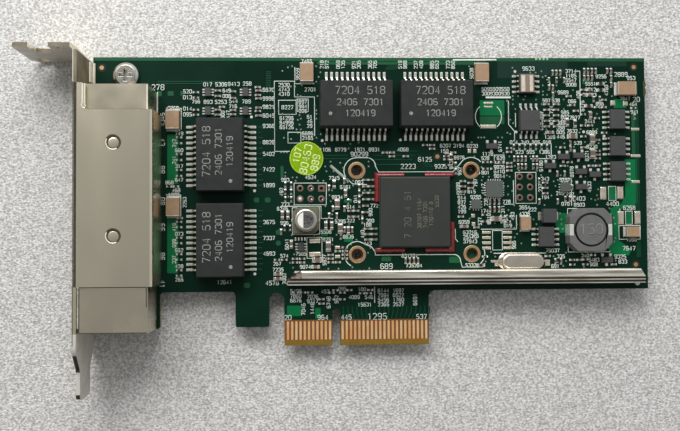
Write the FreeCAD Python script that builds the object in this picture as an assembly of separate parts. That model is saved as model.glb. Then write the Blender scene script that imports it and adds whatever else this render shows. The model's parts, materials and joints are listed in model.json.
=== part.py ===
import FreeCAD, Part
import math
import os

# Low-profile four-port network interface card for a server slot.
#
# Frame, in millimetres: the origin is the card-edge datum, the middle of the key notch at the
# lower end of the contact tongue, on the solder face of the board.  +X runs along the board
# away from the bracket, +Y from the slot to the upper edge, +Z out of the component face.

# --- board -------------------------------------------------------------------------------
BOARD_THICK = 1.57
BOARD_LEFT = -57.5
BOARD_LENGTH = 133.0
BOARD_TOP = 68.9
BOARD_LOWER_EDGE = 12.9
CORNER_RADIUS = 0.5
JACK_LEG_WIDTH = 15.8          # leg of board under the jack
JACK_LEG_MARGIN = 0.15         # end of the jack to the end of its leg
HOOK_LEFT = -23.9              # retention hook beside the contact tongue
HOOK_WIDTH = 8.0
HOOK_BOTTOM = 4.5
TONGUE_LEFT = -12.35           # contact tongue
TONGUE_RIGHT = 22.15
KEY_WIDTH = 1.9
KEY_DEPTH = 8.7
BEVEL_HEIGHT = 1.3
BEVEL_DEPTH = 0.5
BRACKET_HOLE = 3.2
HEADER_HOLE = 1.0
HOLE_SIDES = 8                 # small holes and hidden round faces are cut as prisms
PIN_HOLE_CLEARANCE = 0.12

# --- edge contacts -----------------------------------------------------------------------
CONTACT_PITCH = 1.0
CONTACT_WIDTH = 0.7
CONTACT_LOW = 1.4
CONTACT_LENGTH = 4.4
CONTACT_THICK = 0.05
CONTACTS_BEFORE_KEY = 11
CONTACTS_AFTER_KEY = 21
KEY_TO_CONTACT = 1.5

# --- bracket -----------------------------------------------------------------------------
SHEET = 0.9
BLADE_WIDTH = 18.4
BLADE_BELOW_BOARD_TOP = 4.3
BLADE_GAP = 0.55               # board end to inner face of the blade
TAB_BELOW_BOARD_TOP = 0.4
SHOULDER_BELOW_JACK = 4.25
SHOULDER_DROP = 4.2
BLADE_TONGUE = 10.2
BLADE_TONGUE_LENGTH = 6.7
TAB_REACH = 13.7
TAB_BEND = 2.0
TAB_NOTCH = 4.5
TAB_NOTCH_DEPTH = 7.0
TAB_NOTCH_FROM_BLADE = 7.8
TAB_SLOT_FROM_TIP = 1.8
TAB_SLOT_FROM_EDGE = 1.0
TAB_SLOT_WIDTH = 2.4
TAB_SLOT_LENGTH = 3.4
GAUGE_HOLE = 1.6
GAUGE_HOLE_FROM_BLADE = 3.2
GAUGE_HOLE_FROM_EDGE = 1.7
EAR_WIDTH = 4.9
EAR_BELOW_TAB = 1.5
EAR_REACH = 12.6
EAR_BEND = 1.4
EAR_HOLE_CLEARANCE = 0.1
SCREW_X = -49.6
SCREW_BELOW_TAB = 4.1
SCREW_HEAD = 6.1
SCREW_HEAD_HIGH = 1.9
SCREW_SHANK = 2.9
SCREW_CHAMFER = 0.7
SCREW_RECESS = 3.0
SCREW_RECESS_ARM = 0.75
SCREW_RECESS_DEPTH = 1.2
WINDOW_MARGIN = 1.0            # jack shield hidden behind the blade on each side of the window
SHROUD_ABOVE_JACK_LOW = 10.35
SHROUD_BELOW_JACK_HIGH = 5.85
SHROUD_GAP = 0.3               # shield to the rear wall, and the bend's inner radius
SHROUD_STRIP = 2.6
SHROUD_STRIP_LENGTH = 6.0
SHROUD_FOOT_GAP = 0.35
DIMPLE = 3.6
DIMPLE_DEPTH = 0.25
DIMPLE_SIDES = 16
DIMPLE_X = -50.0
DIMPLE_FROM_SHROUD_ENDS = (11.3, 7.4)

# --- four-port jack ----------------------------------------------------------------------
PORTS = 4
PORT_PITCH = 13.97
JACK_BELOW_SCREW = 4.15
JACK_FRONT_GAP = 0.3           # inner face of the blade to the shield
JACK_DEPTH = 15.35
JACK_END_WALL = 1.095          # outermost socket to the end of the jack
SHIELD_SHEET = 0.3
SHIELD_FIT = 0.05
PORT_WIDTH = 11.7
PORT_FLOOR = 3.6
PORT_HEIGHT = 6.8
PORT_DEPTH = 11.2
LATCH_WIDTH = 6.1
LATCH_HEIGHT = 1.3
LATCH_TIP_WIDTH = 3.3
LATCH_TIP_HEIGHT = 1.1
LIGHT_WIDTH = 3.0
LIGHT_HEIGHT = 1.5
LIGHT_DEPTH = 8.0
PORT_WINDOW_WIDTH = 12.7
PORT_WINDOW_HEIGHT = 11.5
PORT_WINDOW_FLOOR = 0.9
WIRES = 8
WIRE_PITCH = 1.02
WIRE = 0.4
WIRE_FROM_FRONT = 3.2
WIRE_SEAT = 0.5                # under the socket's roof at its rear
WIRE_DROP = 1.9                # under the roof at the wire's free end
WIRE_ROOM = 0.06
PIN_DROP = 1.3
PIN_FROM_REAR = 1.5
PIN_ROW_PITCH = 1.8
TAIL_WIDTH = 1.4
TAIL_DROP = 1.2

# --- packages with leads -----------------------------------------------------------------
LEAD_PITCH = 1.27
LEAD_THICK = 0.2
LEAD_SLOPE = 0.55              # share of the reach that the lead slopes over
STANDOFF = 0.12
TRANSFORMER_LENGTH = 17.5
TRANSFORMER_WIDTH = 11.3
TRANSFORMER_HEIGHT = 5.7
TRANSFORMER_SPAN = 16.0
TRANSFORMER_LEADS = 12
TRANSFORMERS = ((-27.2, 45.15, True), (-27.2, 25.15, True), (4.95, 57.1, False), (23.9, 57.1, False))
SO8_LENGTH = 4.9
SO8_WIDTH = 3.9
SO8_HEIGHT = 1.6
SO8_SPAN = 6.1
SO8_LEADS = 4
FLASH_SIDE = 5.2
FLASH_HEIGHT = 1.9
FLASH_SPAN = 8.0
FLASH_PLACE = (46.85, 53.5)
LABELLED_PLACE = (46.3, 62.5)
SWITCH_PLACES = ((68.3, 53.8), (68.3, 47.3), (68.3, 41.2))
REGULATOR_PLACE = (50.6, 25.5)
LABEL_THICK = 0.08
LABEL_MARGIN = 0.3

# --- controller --------------------------------------------------------------------------
CONTROLLER_X = 18.95
CONTROLLER_Y = 31.6
CONTROLLER_SIDE = 17.0
BALL_HEIGHT = 0.4
BALL_SIDE = 0.5
BALL_PITCH = 1.27
SUBSTRATE_THICK = 0.6
MOULD_INSET = 0.2
MOULD_THICK = 1.2
BEAD_HEIGHT = 1.1
BEAD_WIDTH = 1.1
BEAD_OVERHANG = 0.25
BEAD_LENGTH = 7.2
HEATSINK_PITCH_X = 27.6
HEATSINK_PITCH_Y = 20.1
HEATSINK_HOLE = 3.0

# --- tall parts --------------------------------------------------------------------------
BAR_LEFT = -11.75
BAR_RIGHT = 73.4
BAR_LOW = 14.4
BAR_WIDTH = 3.45
BAR_HEIGHT = 4.5
BAR_THICK = 0.8
BAR_CHAMFER = 1.8
INDUCTOR_X = 60.5
INDUCTOR_Y = 27.1
INDUCTOR_SIDE = 10.2
INDUCTOR_HEIGHT = 4.3
INDUCTOR_CORNER = 1.9
INDUCTOR_BORE = 8.0
CORE_DIAMETER = 7.3
CORE_WAIST = 4.0
CORE_FLANGE = 1.1
WINDING_CLEARANCE = 0.15
TERMINAL_WIDTH = 2.9
TERMINAL_REACH = 1.0
CAN_X = -7.15
CAN_Y = 29.7
CAN_DIAMETER = 5.35
CAN_HEIGHT = 5.8
CAN_BASE = 5.7
CAN_BASE_HEIGHT = 0.9
CAN_CHAMFER = 1.0
CAN_EDGE = 0.4
CRYSTAL_X = 44.4
CRYSTAL_Y = 19.7
CRYSTAL_LENGTH = 10.2
CRYSTAL_WIDTH = 3.8
CRYSTAL_HEIGHT = 3.5
CRYSTAL_FLANGE = 0.3
CRYSTAL_CHAMFER = 0.45
CRYSTAL_LEAD_REACH = 7.2
STICKER_X = -6.9
STICKER_Y = 44.6
STICKER_DIAMETER = 8.1
STICKER_THICK = 0.1
HEADERS = ((-8.45, 34.9, 3, 2), (44.5, 35.0, 2, 3))
HEADER_PITCH = 2.54

# --- worked-out levels and places --------------------------------------------------------
TOP = BOARD_THICK
BOARD_RIGHT = BOARD_LEFT + BOARD_LENGTH
BLADE_INNER = BOARD_LEFT - BLADE_GAP
BLADE_OUTER = BLADE_INNER - SHEET
BLADE_LOW = TOP - BLADE_BELOW_BOARD_TOP
BLADE_HIGH = BLADE_LOW + BLADE_WIDTH
TAB_UNDER = BOARD_TOP - TAB_BELOW_BOARD_TOP
EAR_HIGH = TAB_UNDER - EAR_BELOW_TAB
EAR_LOW = EAR_HIGH - EAR_WIDTH
SCREW_Y = TAB_UNDER - SCREW_BELOW_TAB
JACK_TOP = BLADE_HIGH - SHEET
JACK_FRONT = BLADE_INNER + JACK_FRONT_GAP
SHROUD_BEND = SHEET + SHROUD_GAP
JACK_REAR = JACK_FRONT + JACK_DEPTH
JACK_LENGTH = (PORTS - 1) * PORT_PITCH + PORT_WIDTH + 2 * JACK_END_WALL
JACK_HIGH = SCREW_Y - JACK_BELOW_SCREW
JACK_LOW = JACK_HIGH - JACK_LENGTH
JACK_MIDDLE = (JACK_LOW + JACK_HIGH) / 2
JACK_LEG_BOTTOM = JACK_LOW - JACK_LEG_MARGIN
SHROUD_LOW = JACK_LOW + SHROUD_ABOVE_JACK_LOW
SHROUD_HIGH = JACK_HIGH - SHROUD_BELOW_JACK_HIGH
SHROUD_STRIP_TOP = SHROUD_HIGH + SHROUD_STRIP_LENGTH
DIMPLE_YS = (SHROUD_LOW + DIMPLE_FROM_SHROUD_ENDS[0], SHROUD_HIGH - DIMPLE_FROM_SHROUD_ENDS[1])
SHOULDER_TOP = JACK_LOW - SHOULDER_BELOW_JACK
SHOULDER_BOTTOM = SHOULDER_TOP - SHOULDER_DROP
BRACKET_TIP = SHOULDER_BOTTOM - BLADE_TONGUE_LENGTH
PORT_YS = [JACK_MIDDLE + (i - (PORTS - 1) / 2) * PORT_PITCH for i in range(PORTS)]
PIN_ROWS = (JACK_REAR - PIN_FROM_REAR, JACK_REAR - PIN_FROM_REAR - PIN_ROW_PITCH)
TAIL_XS = (JACK_FRONT + 4.0, JACK_REAR - 3.4)
HEATSINK_HOLES = [
    (CONTROLLER_X + sx * HEATSINK_PITCH_X / 2, CONTROLLER_Y + sy * HEATSINK_PITCH_Y / 2)
    for sx in (-1, 1)
    for sy in (-1, 1)
]


def vec(x, y, z=0.0):
    return FreeCAD.Vector(x, y, z)


def box(x0, x1, y0, y1, z0, z1):
    return Part.makeBox(x1 - x0, y1 - y0, z1 - z0, vec(x0, y0, z0))


def block(x, y, length, width, z0, height):
    """Box centred on x, y."""
    return box(x - length / 2, x + length / 2, y - width / 2, y + width / 2, z0, z0 + height)


def rod(x, y, z0, z1, diameter):
    return Part.makeCylinder(diameter / 2, z1 - z0, vec(x, y, z0))


def faceted_rod(x, y, z0, z1, across, sides):
    """Prism with flat sides; across is its width over the flats."""
    reach = across / 2 / math.cos(math.pi / sides)
    turns = [math.pi * (2 * i + 1) / sides for i in range(sides)]
    points = [vec(x + reach * math.cos(a), y + reach * math.sin(a), z0) for a in turns]
    return Part.Face(Part.makePolygon(points + points[:1])).extrude(vec(0, 0, z1 - z0))


def rounded_wire(corners):
    """Closed wire in the XY plane; each corner is (x, y, radius)."""
    count = len(corners)
    starts, ends, mids = [], [], []
    for i, (x, y, radius) in enumerate(corners):
        here = vec(x, y)
        back = vec(*corners[i - 1][:2]) - here
        ahead = vec(*corners[(i + 1) % count][:2]) - here
        back.normalize()
        ahead.normalize()
        if radius == 0:
            starts.append(here)
            ends.append(here)
            mids.append(None)
            continue
        half = back.getAngle(ahead) / 2
        reach = radius / math.tan(half)
        middle = back + ahead
        middle.normalize()
        centre = here + middle * (radius / math.sin(half))
        starts.append(here + back * reach)
        ends.append(here + ahead * reach)
        mids.append(centre - middle * radius)
    edges = []
    for i in range(count):
        if mids[i] is not None:
            edges.append(Part.Arc(starts[i], mids[i], ends[i]).toShape())
        leave, arrive = ends[i], starts[(i + 1) % count]
        if leave.distanceToPoint(arrive) > 1e-6:
            edges.append(Part.LineSegment(leave, arrive).toShape())
    return Part.Wire(edges)


def plate(corners, z0, thick):
    """Flat plate standing on z0 with a rounded outline."""
    return Part.Face(rounded_wire(corners)).extrude(vec(0, 0, thick)).translated(vec(0, 0, z0))


def rect_corners(x0, x1, y0, y1, radius):
    return [(x0, y0, radius), (x1, y0, radius), (x1, y1, radius), (x0, y1, radius)]


def profile_xz(points, y0, width):
    """Prism along Y of a profile given as (x, z) points."""
    wire = Part.makePolygon([vec(x, y0, z) for x, z in points + points[:1]])
    return Part.Face(wire).extrude(vec(0, width, 0))


def turned(shape, x, y, degrees):
    """Copy turned about the Z axis and moved to x, y."""
    copy = shape.copy()
    copy.rotate(vec(0, 0), vec(0, 0, 1), degrees)
    copy.translate(vec(x, y))
    return copy


def save(name, shapes):
    solid = shapes[0] if len(shapes) == 1 else Part.makeCompound(shapes)
    solid.exportStep("parts/" + name + ".step")


# --- board and contacts ------------------------------------------------------------------
def wire_ys(port_y):
    return [port_y + (i - (WIRES - 1) / 2) * WIRE_PITCH for i in range(WIRES)]


def pin_places():
    """Where the jack's pins pass the board, alternating between two rows."""
    places = []
    for port_y in PORT_YS:
        for i, y in enumerate(wire_ys(port_y)):
            places.append((PIN_ROWS[i % 2], y))
    return places


def tail_places():
    ys = (JACK_LOW + SHIELD_SHEET / 2, JACK_HIGH - SHIELD_SHEET / 2)
    return [(x, y) for x in TAIL_XS for y in ys]


def header_holes():
    holes = []
    for x, y, columns, rows in HEADERS:
        for i in range(columns):
            for j in range(rows):
                holes.append((x + i * HEADER_PITCH, y + j * HEADER_PITCH))
    return holes


def circuit_board():
    leg_right = BOARD_LEFT + JACK_LEG_WIDTH
    hook_right = HOOK_LEFT + HOOK_WIDTH
    slot_radius = (TONGUE_LEFT - hook_right) / 2 - 0.02
    key = KEY_WIDTH / 2
    board = plate(
        [
            (BOARD_LEFT, JACK_LEG_BOTTOM, 0),
            (leg_right, JACK_LEG_BOTTOM, CORNER_RADIUS),
            (leg_right, BOARD_LOWER_EDGE, 1.0),
            (HOOK_LEFT, BOARD_LOWER_EDGE, 1.0),
            (HOOK_LEFT, HOOK_BOTTOM, CORNER_RADIUS),
            (hook_right, HOOK_BOTTOM, CORNER_RADIUS),
            (hook_right, BOARD_LOWER_EDGE - 0.3, slot_radius),
            (TONGUE_LEFT, BOARD_LOWER_EDGE - 0.3, slot_radius),
            (TONGUE_LEFT, 0, 0.8),
            (-key, 0, 0),
            (-key, KEY_DEPTH, key - 0.02),
            (key, KEY_DEPTH, key - 0.02),
            (key, 0, 0),
            (TONGUE_RIGHT, 0, 0.8),
            (TONGUE_RIGHT, BOARD_LOWER_EDGE, 1.3),
            (BOARD_RIGHT, BOARD_LOWER_EDGE, 0),
            (BOARD_RIGHT, BOARD_TOP, 0),
            (BOARD_LEFT, BOARD_TOP, 0),
        ],
        0,
        BOARD_THICK,
    )
    cuts = [faceted_rod(SCREW_X, SCREW_Y, -1, TOP + 1, BRACKET_HOLE, HOLE_SIDES)]
    cuts += [rod(x, y, -1, TOP + 1, HEATSINK_HOLE) for x, y in HEATSINK_HOLES]
    cuts += [faceted_rod(x, y, -1, TOP + 1, HEADER_HOLE, HOLE_SIDES) for x, y in header_holes()]
    pin = WIRE + 2 * PIN_HOLE_CLEARANCE
    cuts += [block(x, y, pin, pin, -1, BOARD_THICK + 2) for x, y in pin_places()]
    tail = TAIL_WIDTH + 2 * PIN_HOLE_CLEARANCE
    slot = SHIELD_SHEET + 2 * PIN_HOLE_CLEARANCE
    cuts += [block(x, y, tail, slot, -1, BOARD_THICK + 2) for x, y in tail_places()]
    for face, away in ((0, -1), (TOP, 1)):
        inward = face - away * BEVEL_DEPTH
        wedge = Part.makePolygon(
            [
                vec(TONGUE_LEFT - 1, -0.01, inward),
                vec(TONGUE_LEFT - 1, BEVEL_HEIGHT, face),
                vec(TONGUE_LEFT - 1, -0.01, face),
                vec(TONGUE_LEFT - 1, -0.01, inward),
            ]
        )
        cuts.append(Part.Face(wedge).extrude(vec(TONGUE_RIGHT - TONGUE_LEFT + 2, 0, 0)))
    return board.cut(Part.makeCompound(cuts))


def contact_xs():
    first = -KEY_TO_CONTACT - (CONTACTS_BEFORE_KEY - 1) * CONTACT_PITCH
    before = [first + i * CONTACT_PITCH for i in range(CONTACTS_BEFORE_KEY)]
    after = [KEY_TO_CONTACT + i * CONTACT_PITCH for i in range(CONTACTS_AFTER_KEY)]
    return before + after


def edge_contacts(z0):
    middle = CONTACT_LOW + CONTACT_LENGTH / 2
    return [block(x, middle, CONTACT_WIDTH, CONTACT_LENGTH, z0, CONTACT_THICK) for x in contact_xs()]


# --- bracket -----------------------------------------------------------------------------
def yz_plate(corners, x0, thick):
    """Plate facing X; each corner is (y, z, radius)."""
    flat = Part.Face(rounded_wire([(y, z, r) for y, z, r in corners]))
    flat = flat.extrude(vec(0, 0, thick))
    turn = FreeCAD.Matrix(0, 0, 1, x0, 1, 0, 0, 0, 0, 1, 0, 0)
    return flat.transformed(turn)


def xz_plate(corners, y0, thick):
    """Plate facing Y; each corner is (z, x, radius)."""
    flat = Part.Face(rounded_wire([(z, x, r) for z, x, r in corners]))
    flat = flat.extrude(vec(0, 0, thick))
    turn = FreeCAD.Matrix(0, 1, 0, 0, 0, 0, 1, y0, 1, 0, 0, 0)
    return flat.transformed(turn)


def blade():
    middle = (BLADE_LOW + BLADE_HIGH) / 2
    half = BLADE_TONGUE / 2
    return yz_plate(
        [
            (TAB_UNDER - 1.1, BLADE_LOW, 0),
            (TAB_UNDER - 1.1, BLADE_HIGH, 0),
            (SHOULDER_TOP, BLADE_HIGH, 3.0),
            (SHOULDER_BOTTOM, middle + half, 3.0),
            (BRACKET_TIP, middle + half, 1.2),
            (BRACKET_TIP, middle - half, 1.2),
            (SHOULDER_BOTTOM, middle - half, 3.0),
            (SHOULDER_TOP, BLADE_LOW, 3.0),
        ],
        BLADE_OUTER,
        SHEET,
    )


def screw_tab():
    """Tab that is screwed to the chassis, bent off the blade's upper end."""
    tip = BLADE_OUTER - TAB_REACH
    notch = BLADE_OUTER - TAB_NOTCH_FROM_BLADE
    half = TAB_NOTCH / 2
    bottom = BLADE_HIGH - TAB_NOTCH_DEPTH
    root = BLADE_INNER - TAB_BEND
    tab = xz_plate(
        [
            (BLADE_LOW, root, 0),
            (BLADE_LOW, tip + 1.6, 1.0),
            (BLADE_LOW + 2.4, tip, 1.0),
            (BLADE_HIGH, tip, 1.2),
            (BLADE_HIGH, notch - half, 0.4),
            (bottom, notch - half, half - 0.02),
            (bottom, notch + half, half - 0.02),
            (BLADE_HIGH, notch + half, 0.4),
            (BLADE_HIGH, root, 0),
        ],
        TAB_UNDER,
        SHEET,
    )
    y0, y1 = TAB_UNDER - 1, TAB_UNDER + SHEET + 1
    slot_x = tip + TAB_SLOT_FROM_TIP
    slot_z = BLADE_LOW + TAB_SLOT_FROM_EDGE
    slot = box(slot_x, slot_x + TAB_SLOT_WIDTH, y0, y1, slot_z, slot_z + TAB_SLOT_LENGTH)
    gauge_hole = faceted_rod(BLADE_OUTER - GAUGE_HOLE_FROM_BLADE, GAUGE_HOLE_FROM_EDGE - BLADE_HIGH,
                             y0, y1, GAUGE_HOLE, HOLE_SIDES)
    gauge_hole.rotate(vec(0, 0), vec(1, 0, 0), -90)
    return tab.cut(Part.makeCompound([slot, gauge_hole]))


def bend(axis, centre, outer, signs, start, end):
    """Quarter bend of the sheet; axis and signs give its line and its quadrant."""
    length = end - start
    along = {"y": vec(0, 1, 0), "z": vec(0, 0, 1)}[axis]
    other = {"y": vec(0, 0, 1), "z": vec(0, 1, 0)}[axis]
    base = vec(centre[0], 0, 0) + other * centre[1] + along * start
    ring = Part.makeCylinder(outer, length, base, along)
    ring = ring.cut(Part.makeCylinder(outer - SHEET, length, base, along))
    corner = base + vec(min(0, signs[0]) * outer, 0, 0) + other * (min(0, signs[1]) * outer)
    size = vec(outer, 0, 0) + other * outer + along * length
    return ring.common(Part.makeBox(size.x, size.y, size.z, corner))


def ear():
    """Threaded ear under the board, bent off the blade."""
    cx = BLADE_OUTER + EAR_BEND
    run = box(cx, BLADE_OUTER + EAR_REACH, EAR_LOW, EAR_HIGH, -SHEET, 0)
    corner = bend("y", (cx, EAR_BEND - SHEET), EAR_BEND, (-1, -1), EAR_LOW, EAR_HIGH)
    thread = faceted_rod(SCREW_X, SCREW_Y, -SHEET - 1, 1, SCREW_SHANK + EAR_HOLE_CLEARANCE, HOLE_SIDES)
    return run.fuse(corner).cut(thread)


def shroud():
    """Cover folded from the blade's edge over the jack and down behind it."""
    inner_rear = JACK_REAR + SHROUD_GAP
    outer_rear = inner_rear + SHEET
    low, high = SHROUD_LOW, SHROUD_HIGH
    front = BLADE_OUTER + SHROUD_BEND
    level = BLADE_HIGH - SHROUD_BEND
    top = box(front, outer_rear - SHROUD_BEND, low, high, JACK_TOP, BLADE_HIGH)
    front_bend = bend("y", (front, level), SHROUD_BEND, (-1, 1), low, SHROUD_STRIP_TOP)
    rear_bend = bend("y", (outer_rear - SHROUD_BEND, level), SHROUD_BEND, (1, 1), low, high)
    rear = box(inner_rear, outer_rear, low, high, TOP + SHROUD_FOOT_GAP, level)
    strip = box(front, BLADE_OUTER + SHROUD_STRIP, high, SHROUD_STRIP_TOP, JACK_TOP, BLADE_HIGH)
    rim = [e for e in strip.Edges if e.BoundBox.ZLength > SHEET / 2 and e.BoundBox.XMin > front + 0.01
           and e.BoundBox.YMin > high + 0.01]
    strip = strip.makeFillet(0.7, rim)
    cover = top.multiFuse([front_bend, rear_bend, rear, strip])
    dimples = [
        faceted_rod(DIMPLE_X, y, BLADE_HIGH - DIMPLE_DEPTH, BLADE_HIGH + 1, DIMPLE, DIMPLE_SIDES)
        for y in DIMPLE_YS
    ]
    return cover.cut(Part.makeCompound(dimples))


def bracket():
    sheet = blade()
    window = yz_plate(
        rect_corners(JACK_LOW + WINDOW_MARGIN, JACK_HIGH - WINDOW_MARGIN,
                     TOP + PORT_WINDOW_FLOOR - 0.4, JACK_TOP - 0.5, 0),
        BLADE_OUTER - 1,
        SHEET + 2,
    )
    edge_room = box(BLADE_OUTER - 1, BLADE_INNER + 1, SHROUD_LOW, SHROUD_STRIP_TOP,
                    BLADE_HIGH - SHROUD_BEND, BLADE_HIGH + 1)
    sheet = sheet.cut(Part.makeCompound([window, edge_room]))
    corner = bend("z", (BLADE_INNER - TAB_BEND, TAB_UNDER + SHEET - TAB_BEND), TAB_BEND, (1, 1),
                  BLADE_LOW, BLADE_HIGH)
    post = box(BLADE_OUTER, BLADE_INNER, TAB_UNDER - 1.2, TAB_UNDER + SHEET - TAB_BEND,
               BLADE_LOW, BLADE_HIGH)
    room = box(BLADE_OUTER - 1, BLADE_INNER + 1, EAR_LOW, EAR_HIGH, BLADE_LOW - 1, EAR_BEND - SHEET)
    sheet = sheet.cut(room)
    return sheet.multiFuse([post, corner, screw_tab(), ear(), shroud()]).removeSplitter()


def bracket_screw():
    """Cross-recess screw from the component face into the ear."""
    head_top = TOP + SCREW_HEAD_HIGH
    head = rod(SCREW_X, SCREW_Y, TOP, head_top, SCREW_HEAD)
    rim = [e for e in head.Edges if e.BoundBox.ZMin > head_top - 0.01]
    head = head.makeChamfer(SCREW_CHAMFER, rim)
    floor = head_top - SCREW_RECESS_DEPTH
    arms = [
        block(SCREW_X, SCREW_Y, SCREW_RECESS, SCREW_RECESS_ARM, floor, SCREW_HEAD_HIGH),
        block(SCREW_X, SCREW_Y, SCREW_RECESS_ARM, SCREW_RECESS, floor, SCREW_HEAD_HIGH),
    ]
    head = head.cut(Part.makeCompound(arms))
    return head.fuse(faceted_rod(SCREW_X, SCREW_Y, -SHEET - 0.4, TOP, SCREW_SHANK, HOLE_SIDES))


# --- jack --------------------------------------------------------------------------------
def jack_shield():
    outer = box(JACK_FRONT, JACK_REAR, JACK_LOW, JACK_HIGH, TOP, JACK_TOP)
    t = SHIELD_SHEET
    inner = box(JACK_FRONT + t, JACK_REAR - t, JACK_LOW + t, JACK_HIGH - t, TOP - 1, JACK_TOP - t)
    windows = []
    for y in PORT_YS:
        half = PORT_WINDOW_WIDTH / 2
        floor = TOP + PORT_WINDOW_FLOOR
        windows.append(box(JACK_FRONT - 1, JACK_FRONT + 1, y - half, y + half,
                           floor, floor + PORT_WINDOW_HEIGHT))
    shell = outer.cut(Part.makeCompound([inner] + windows))
    tails = [block(x, y, TAIL_WIDTH, t, -TAIL_DROP, TOP + TAIL_DROP + 0.5) for x, y in tail_places()]
    return shell.multiFuse(tails).removeSplitter()


def port_opening(y):
    """Socket for one plug, with the latch slot towards the board."""
    half = PORT_WIDTH / 2
    floor = TOP + PORT_FLOOR
    latch = floor - LATCH_HEIGHT
    tip = latch - LATCH_TIP_HEIGHT
    x0 = JACK_FRONT - 1
    x1 = JACK_FRONT + PORT_DEPTH
    return [
        box(x0, x1, y - half, y + half, floor, floor + PORT_HEIGHT),
        box(x0, x1, y - LATCH_WIDTH / 2, y + LATCH_WIDTH / 2, latch, floor + 0.1),
        box(x0, x1 - 3, y - LATCH_TIP_WIDTH / 2, y + LATCH_TIP_WIDTH / 2, tip, latch + 0.1),
    ]


def light_places():
    z0 = TOP + PORT_FLOOR + PORT_HEIGHT + 0.35
    places = []
    for y in PORT_YS:
        for side in (-1, 1):
            places.append((y + side * (PORT_WIDTH - LIGHT_WIDTH) / 2, z0))
    return places


def light_box(y, z0, room):
    half = LIGHT_WIDTH / 2 + room
    front = JACK_FRONT + SHIELD_SHEET + SHIELD_FIT
    return box(front - room, front + LIGHT_DEPTH + room, y - half, y + half,
               z0 - room, z0 + LIGHT_HEIGHT + room)


def port_wire(y, row):
    """Spring wire of a socket: slopes up to the cavity's roof, then drops through the board."""
    roof = TOP + PORT_FLOOR + PORT_HEIGHT
    front = JACK_FRONT + WIRE_FROM_FRONT
    pin = PIN_ROWS[row]
    half = WIRE / 2
    points = [
        (front, roof - WIRE_DROP),
        (pin + half, roof - WIRE_SEAT),
        (pin + half, -PIN_DROP),
        (pin - half, -PIN_DROP),
        (pin - half, roof - WIRE_SEAT - WIRE),
        (front, roof - WIRE_DROP - WIRE),
    ]
    return profile_xz(points, y - half, WIRE)


def port_wires(port_y):
    return [port_wire(y, i % 2) for i, y in enumerate(wire_ys(port_y))]


def wire_rooms():
    """Slot in the housing behind each socket, which the wires drop through."""
    roof = TOP + PORT_FLOOR + PORT_HEIGHT
    room = WIRE / 2 + WIRE_ROOM
    half = (WIRES - 1) / 2 * WIRE_PITCH + room
    rear = max(PIN_ROWS) + room
    return [
        box(JACK_FRONT + PORT_DEPTH - 0.1, rear, y - half, y + half, TOP - 1, roof - WIRE_SEAT + WIRE_ROOM)
        for y in PORT_YS
    ]


def jack_housing():
    t = SHIELD_SHEET + SHIELD_FIT
    body = box(JACK_FRONT + t, JACK_REAR - t, JACK_LOW + t, JACK_HIGH - t, TOP + 0.1, JACK_TOP - t)
    cuts = wire_rooms()
    for y in PORT_YS:
        cuts += port_opening(y)
    cuts += [light_box(y, z0, 0.03) for y, z0 in light_places()]
    return body.cut(Part.makeCompound(cuts))


# --- packages ----------------------------------------------------------------------------
def gull_lead(body_half, span_half, z_exit, width):
    """Lead that leaves the body at z_exit towards +X, slopes down and ends flat on the board."""
    foot = body_half + (span_half - body_half) * LEAD_SLOPE
    t = LEAD_THICK
    points = [
        (body_half, z_exit),
        (body_half, z_exit + t),
        (foot + t / 2, TOP + t),
        (span_half, TOP + t),
        (span_half, TOP),
        (foot - t / 2, TOP),
    ]
    return profile_xz(points, -width / 2, width)


def lead_rows(x, y, body_width, span, count, z_exit, width, along_x):
    """Leads on two opposite sides of a package; along_x says which way the rows run."""
    lead = gull_lead(body_width / 2, span / 2, z_exit, width)
    leads = []
    for i in range(count):
        shift = (i - (count - 1) / 2) * LEAD_PITCH
        for side in (0, 180):
            if along_x:
                leads.append(turned(lead, x + shift, y, side + 90))
            else:
                leads.append(turned(lead, x, y + shift, side))
    return leads


def package_body(x, y, length, width, height, draft):
    """Moulded body, drawn in above and below the parting line."""
    z0 = TOP + STANDOFF
    middle = z0 + (height - STANDOFF) * 0.45
    z1 = TOP + height

    def section(inset, z):
        a, b = length / 2 - inset, width / 2 - inset
        points = [vec(x - a, y - b, z), vec(x + a, y - b, z), vec(x + a, y + b, z),
                  vec(x - a, y + b, z), vec(x - a, y - b, z)]
        return Part.makePolygon(points)

    lower = Part.makeLoft([section(draft * 0.6, z0), section(0, middle)], True)
    upper = Part.makeLoft([section(0, middle), section(draft, z1)], True)
    return lower.fuse(upper)


def transformer(x, y, upright):
    length, width = TRANSFORMER_LENGTH, TRANSFORMER_WIDTH
    if upright:
        length, width = width, length
    return package_body(x, y, length, width, TRANSFORMER_HEIGHT, 0.25)


def transformer_leads(x, y, upright):
    z_exit = TOP + TRANSFORMER_HEIGHT * 0.4
    return lead_rows(x, y, TRANSFORMER_WIDTH, TRANSFORMER_SPAN, TRANSFORMER_LEADS, z_exit, 0.5,
                     not upright)


def so8_body(x, y):
    return package_body(x, y, SO8_WIDTH, SO8_LENGTH, SO8_HEIGHT, 0.18)


def so8_leads(x, y):
    return lead_rows(x, y, SO8_WIDTH, SO8_SPAN, SO8_LEADS, TOP + SO8_HEIGHT * 0.45, 0.42, False)


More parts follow.
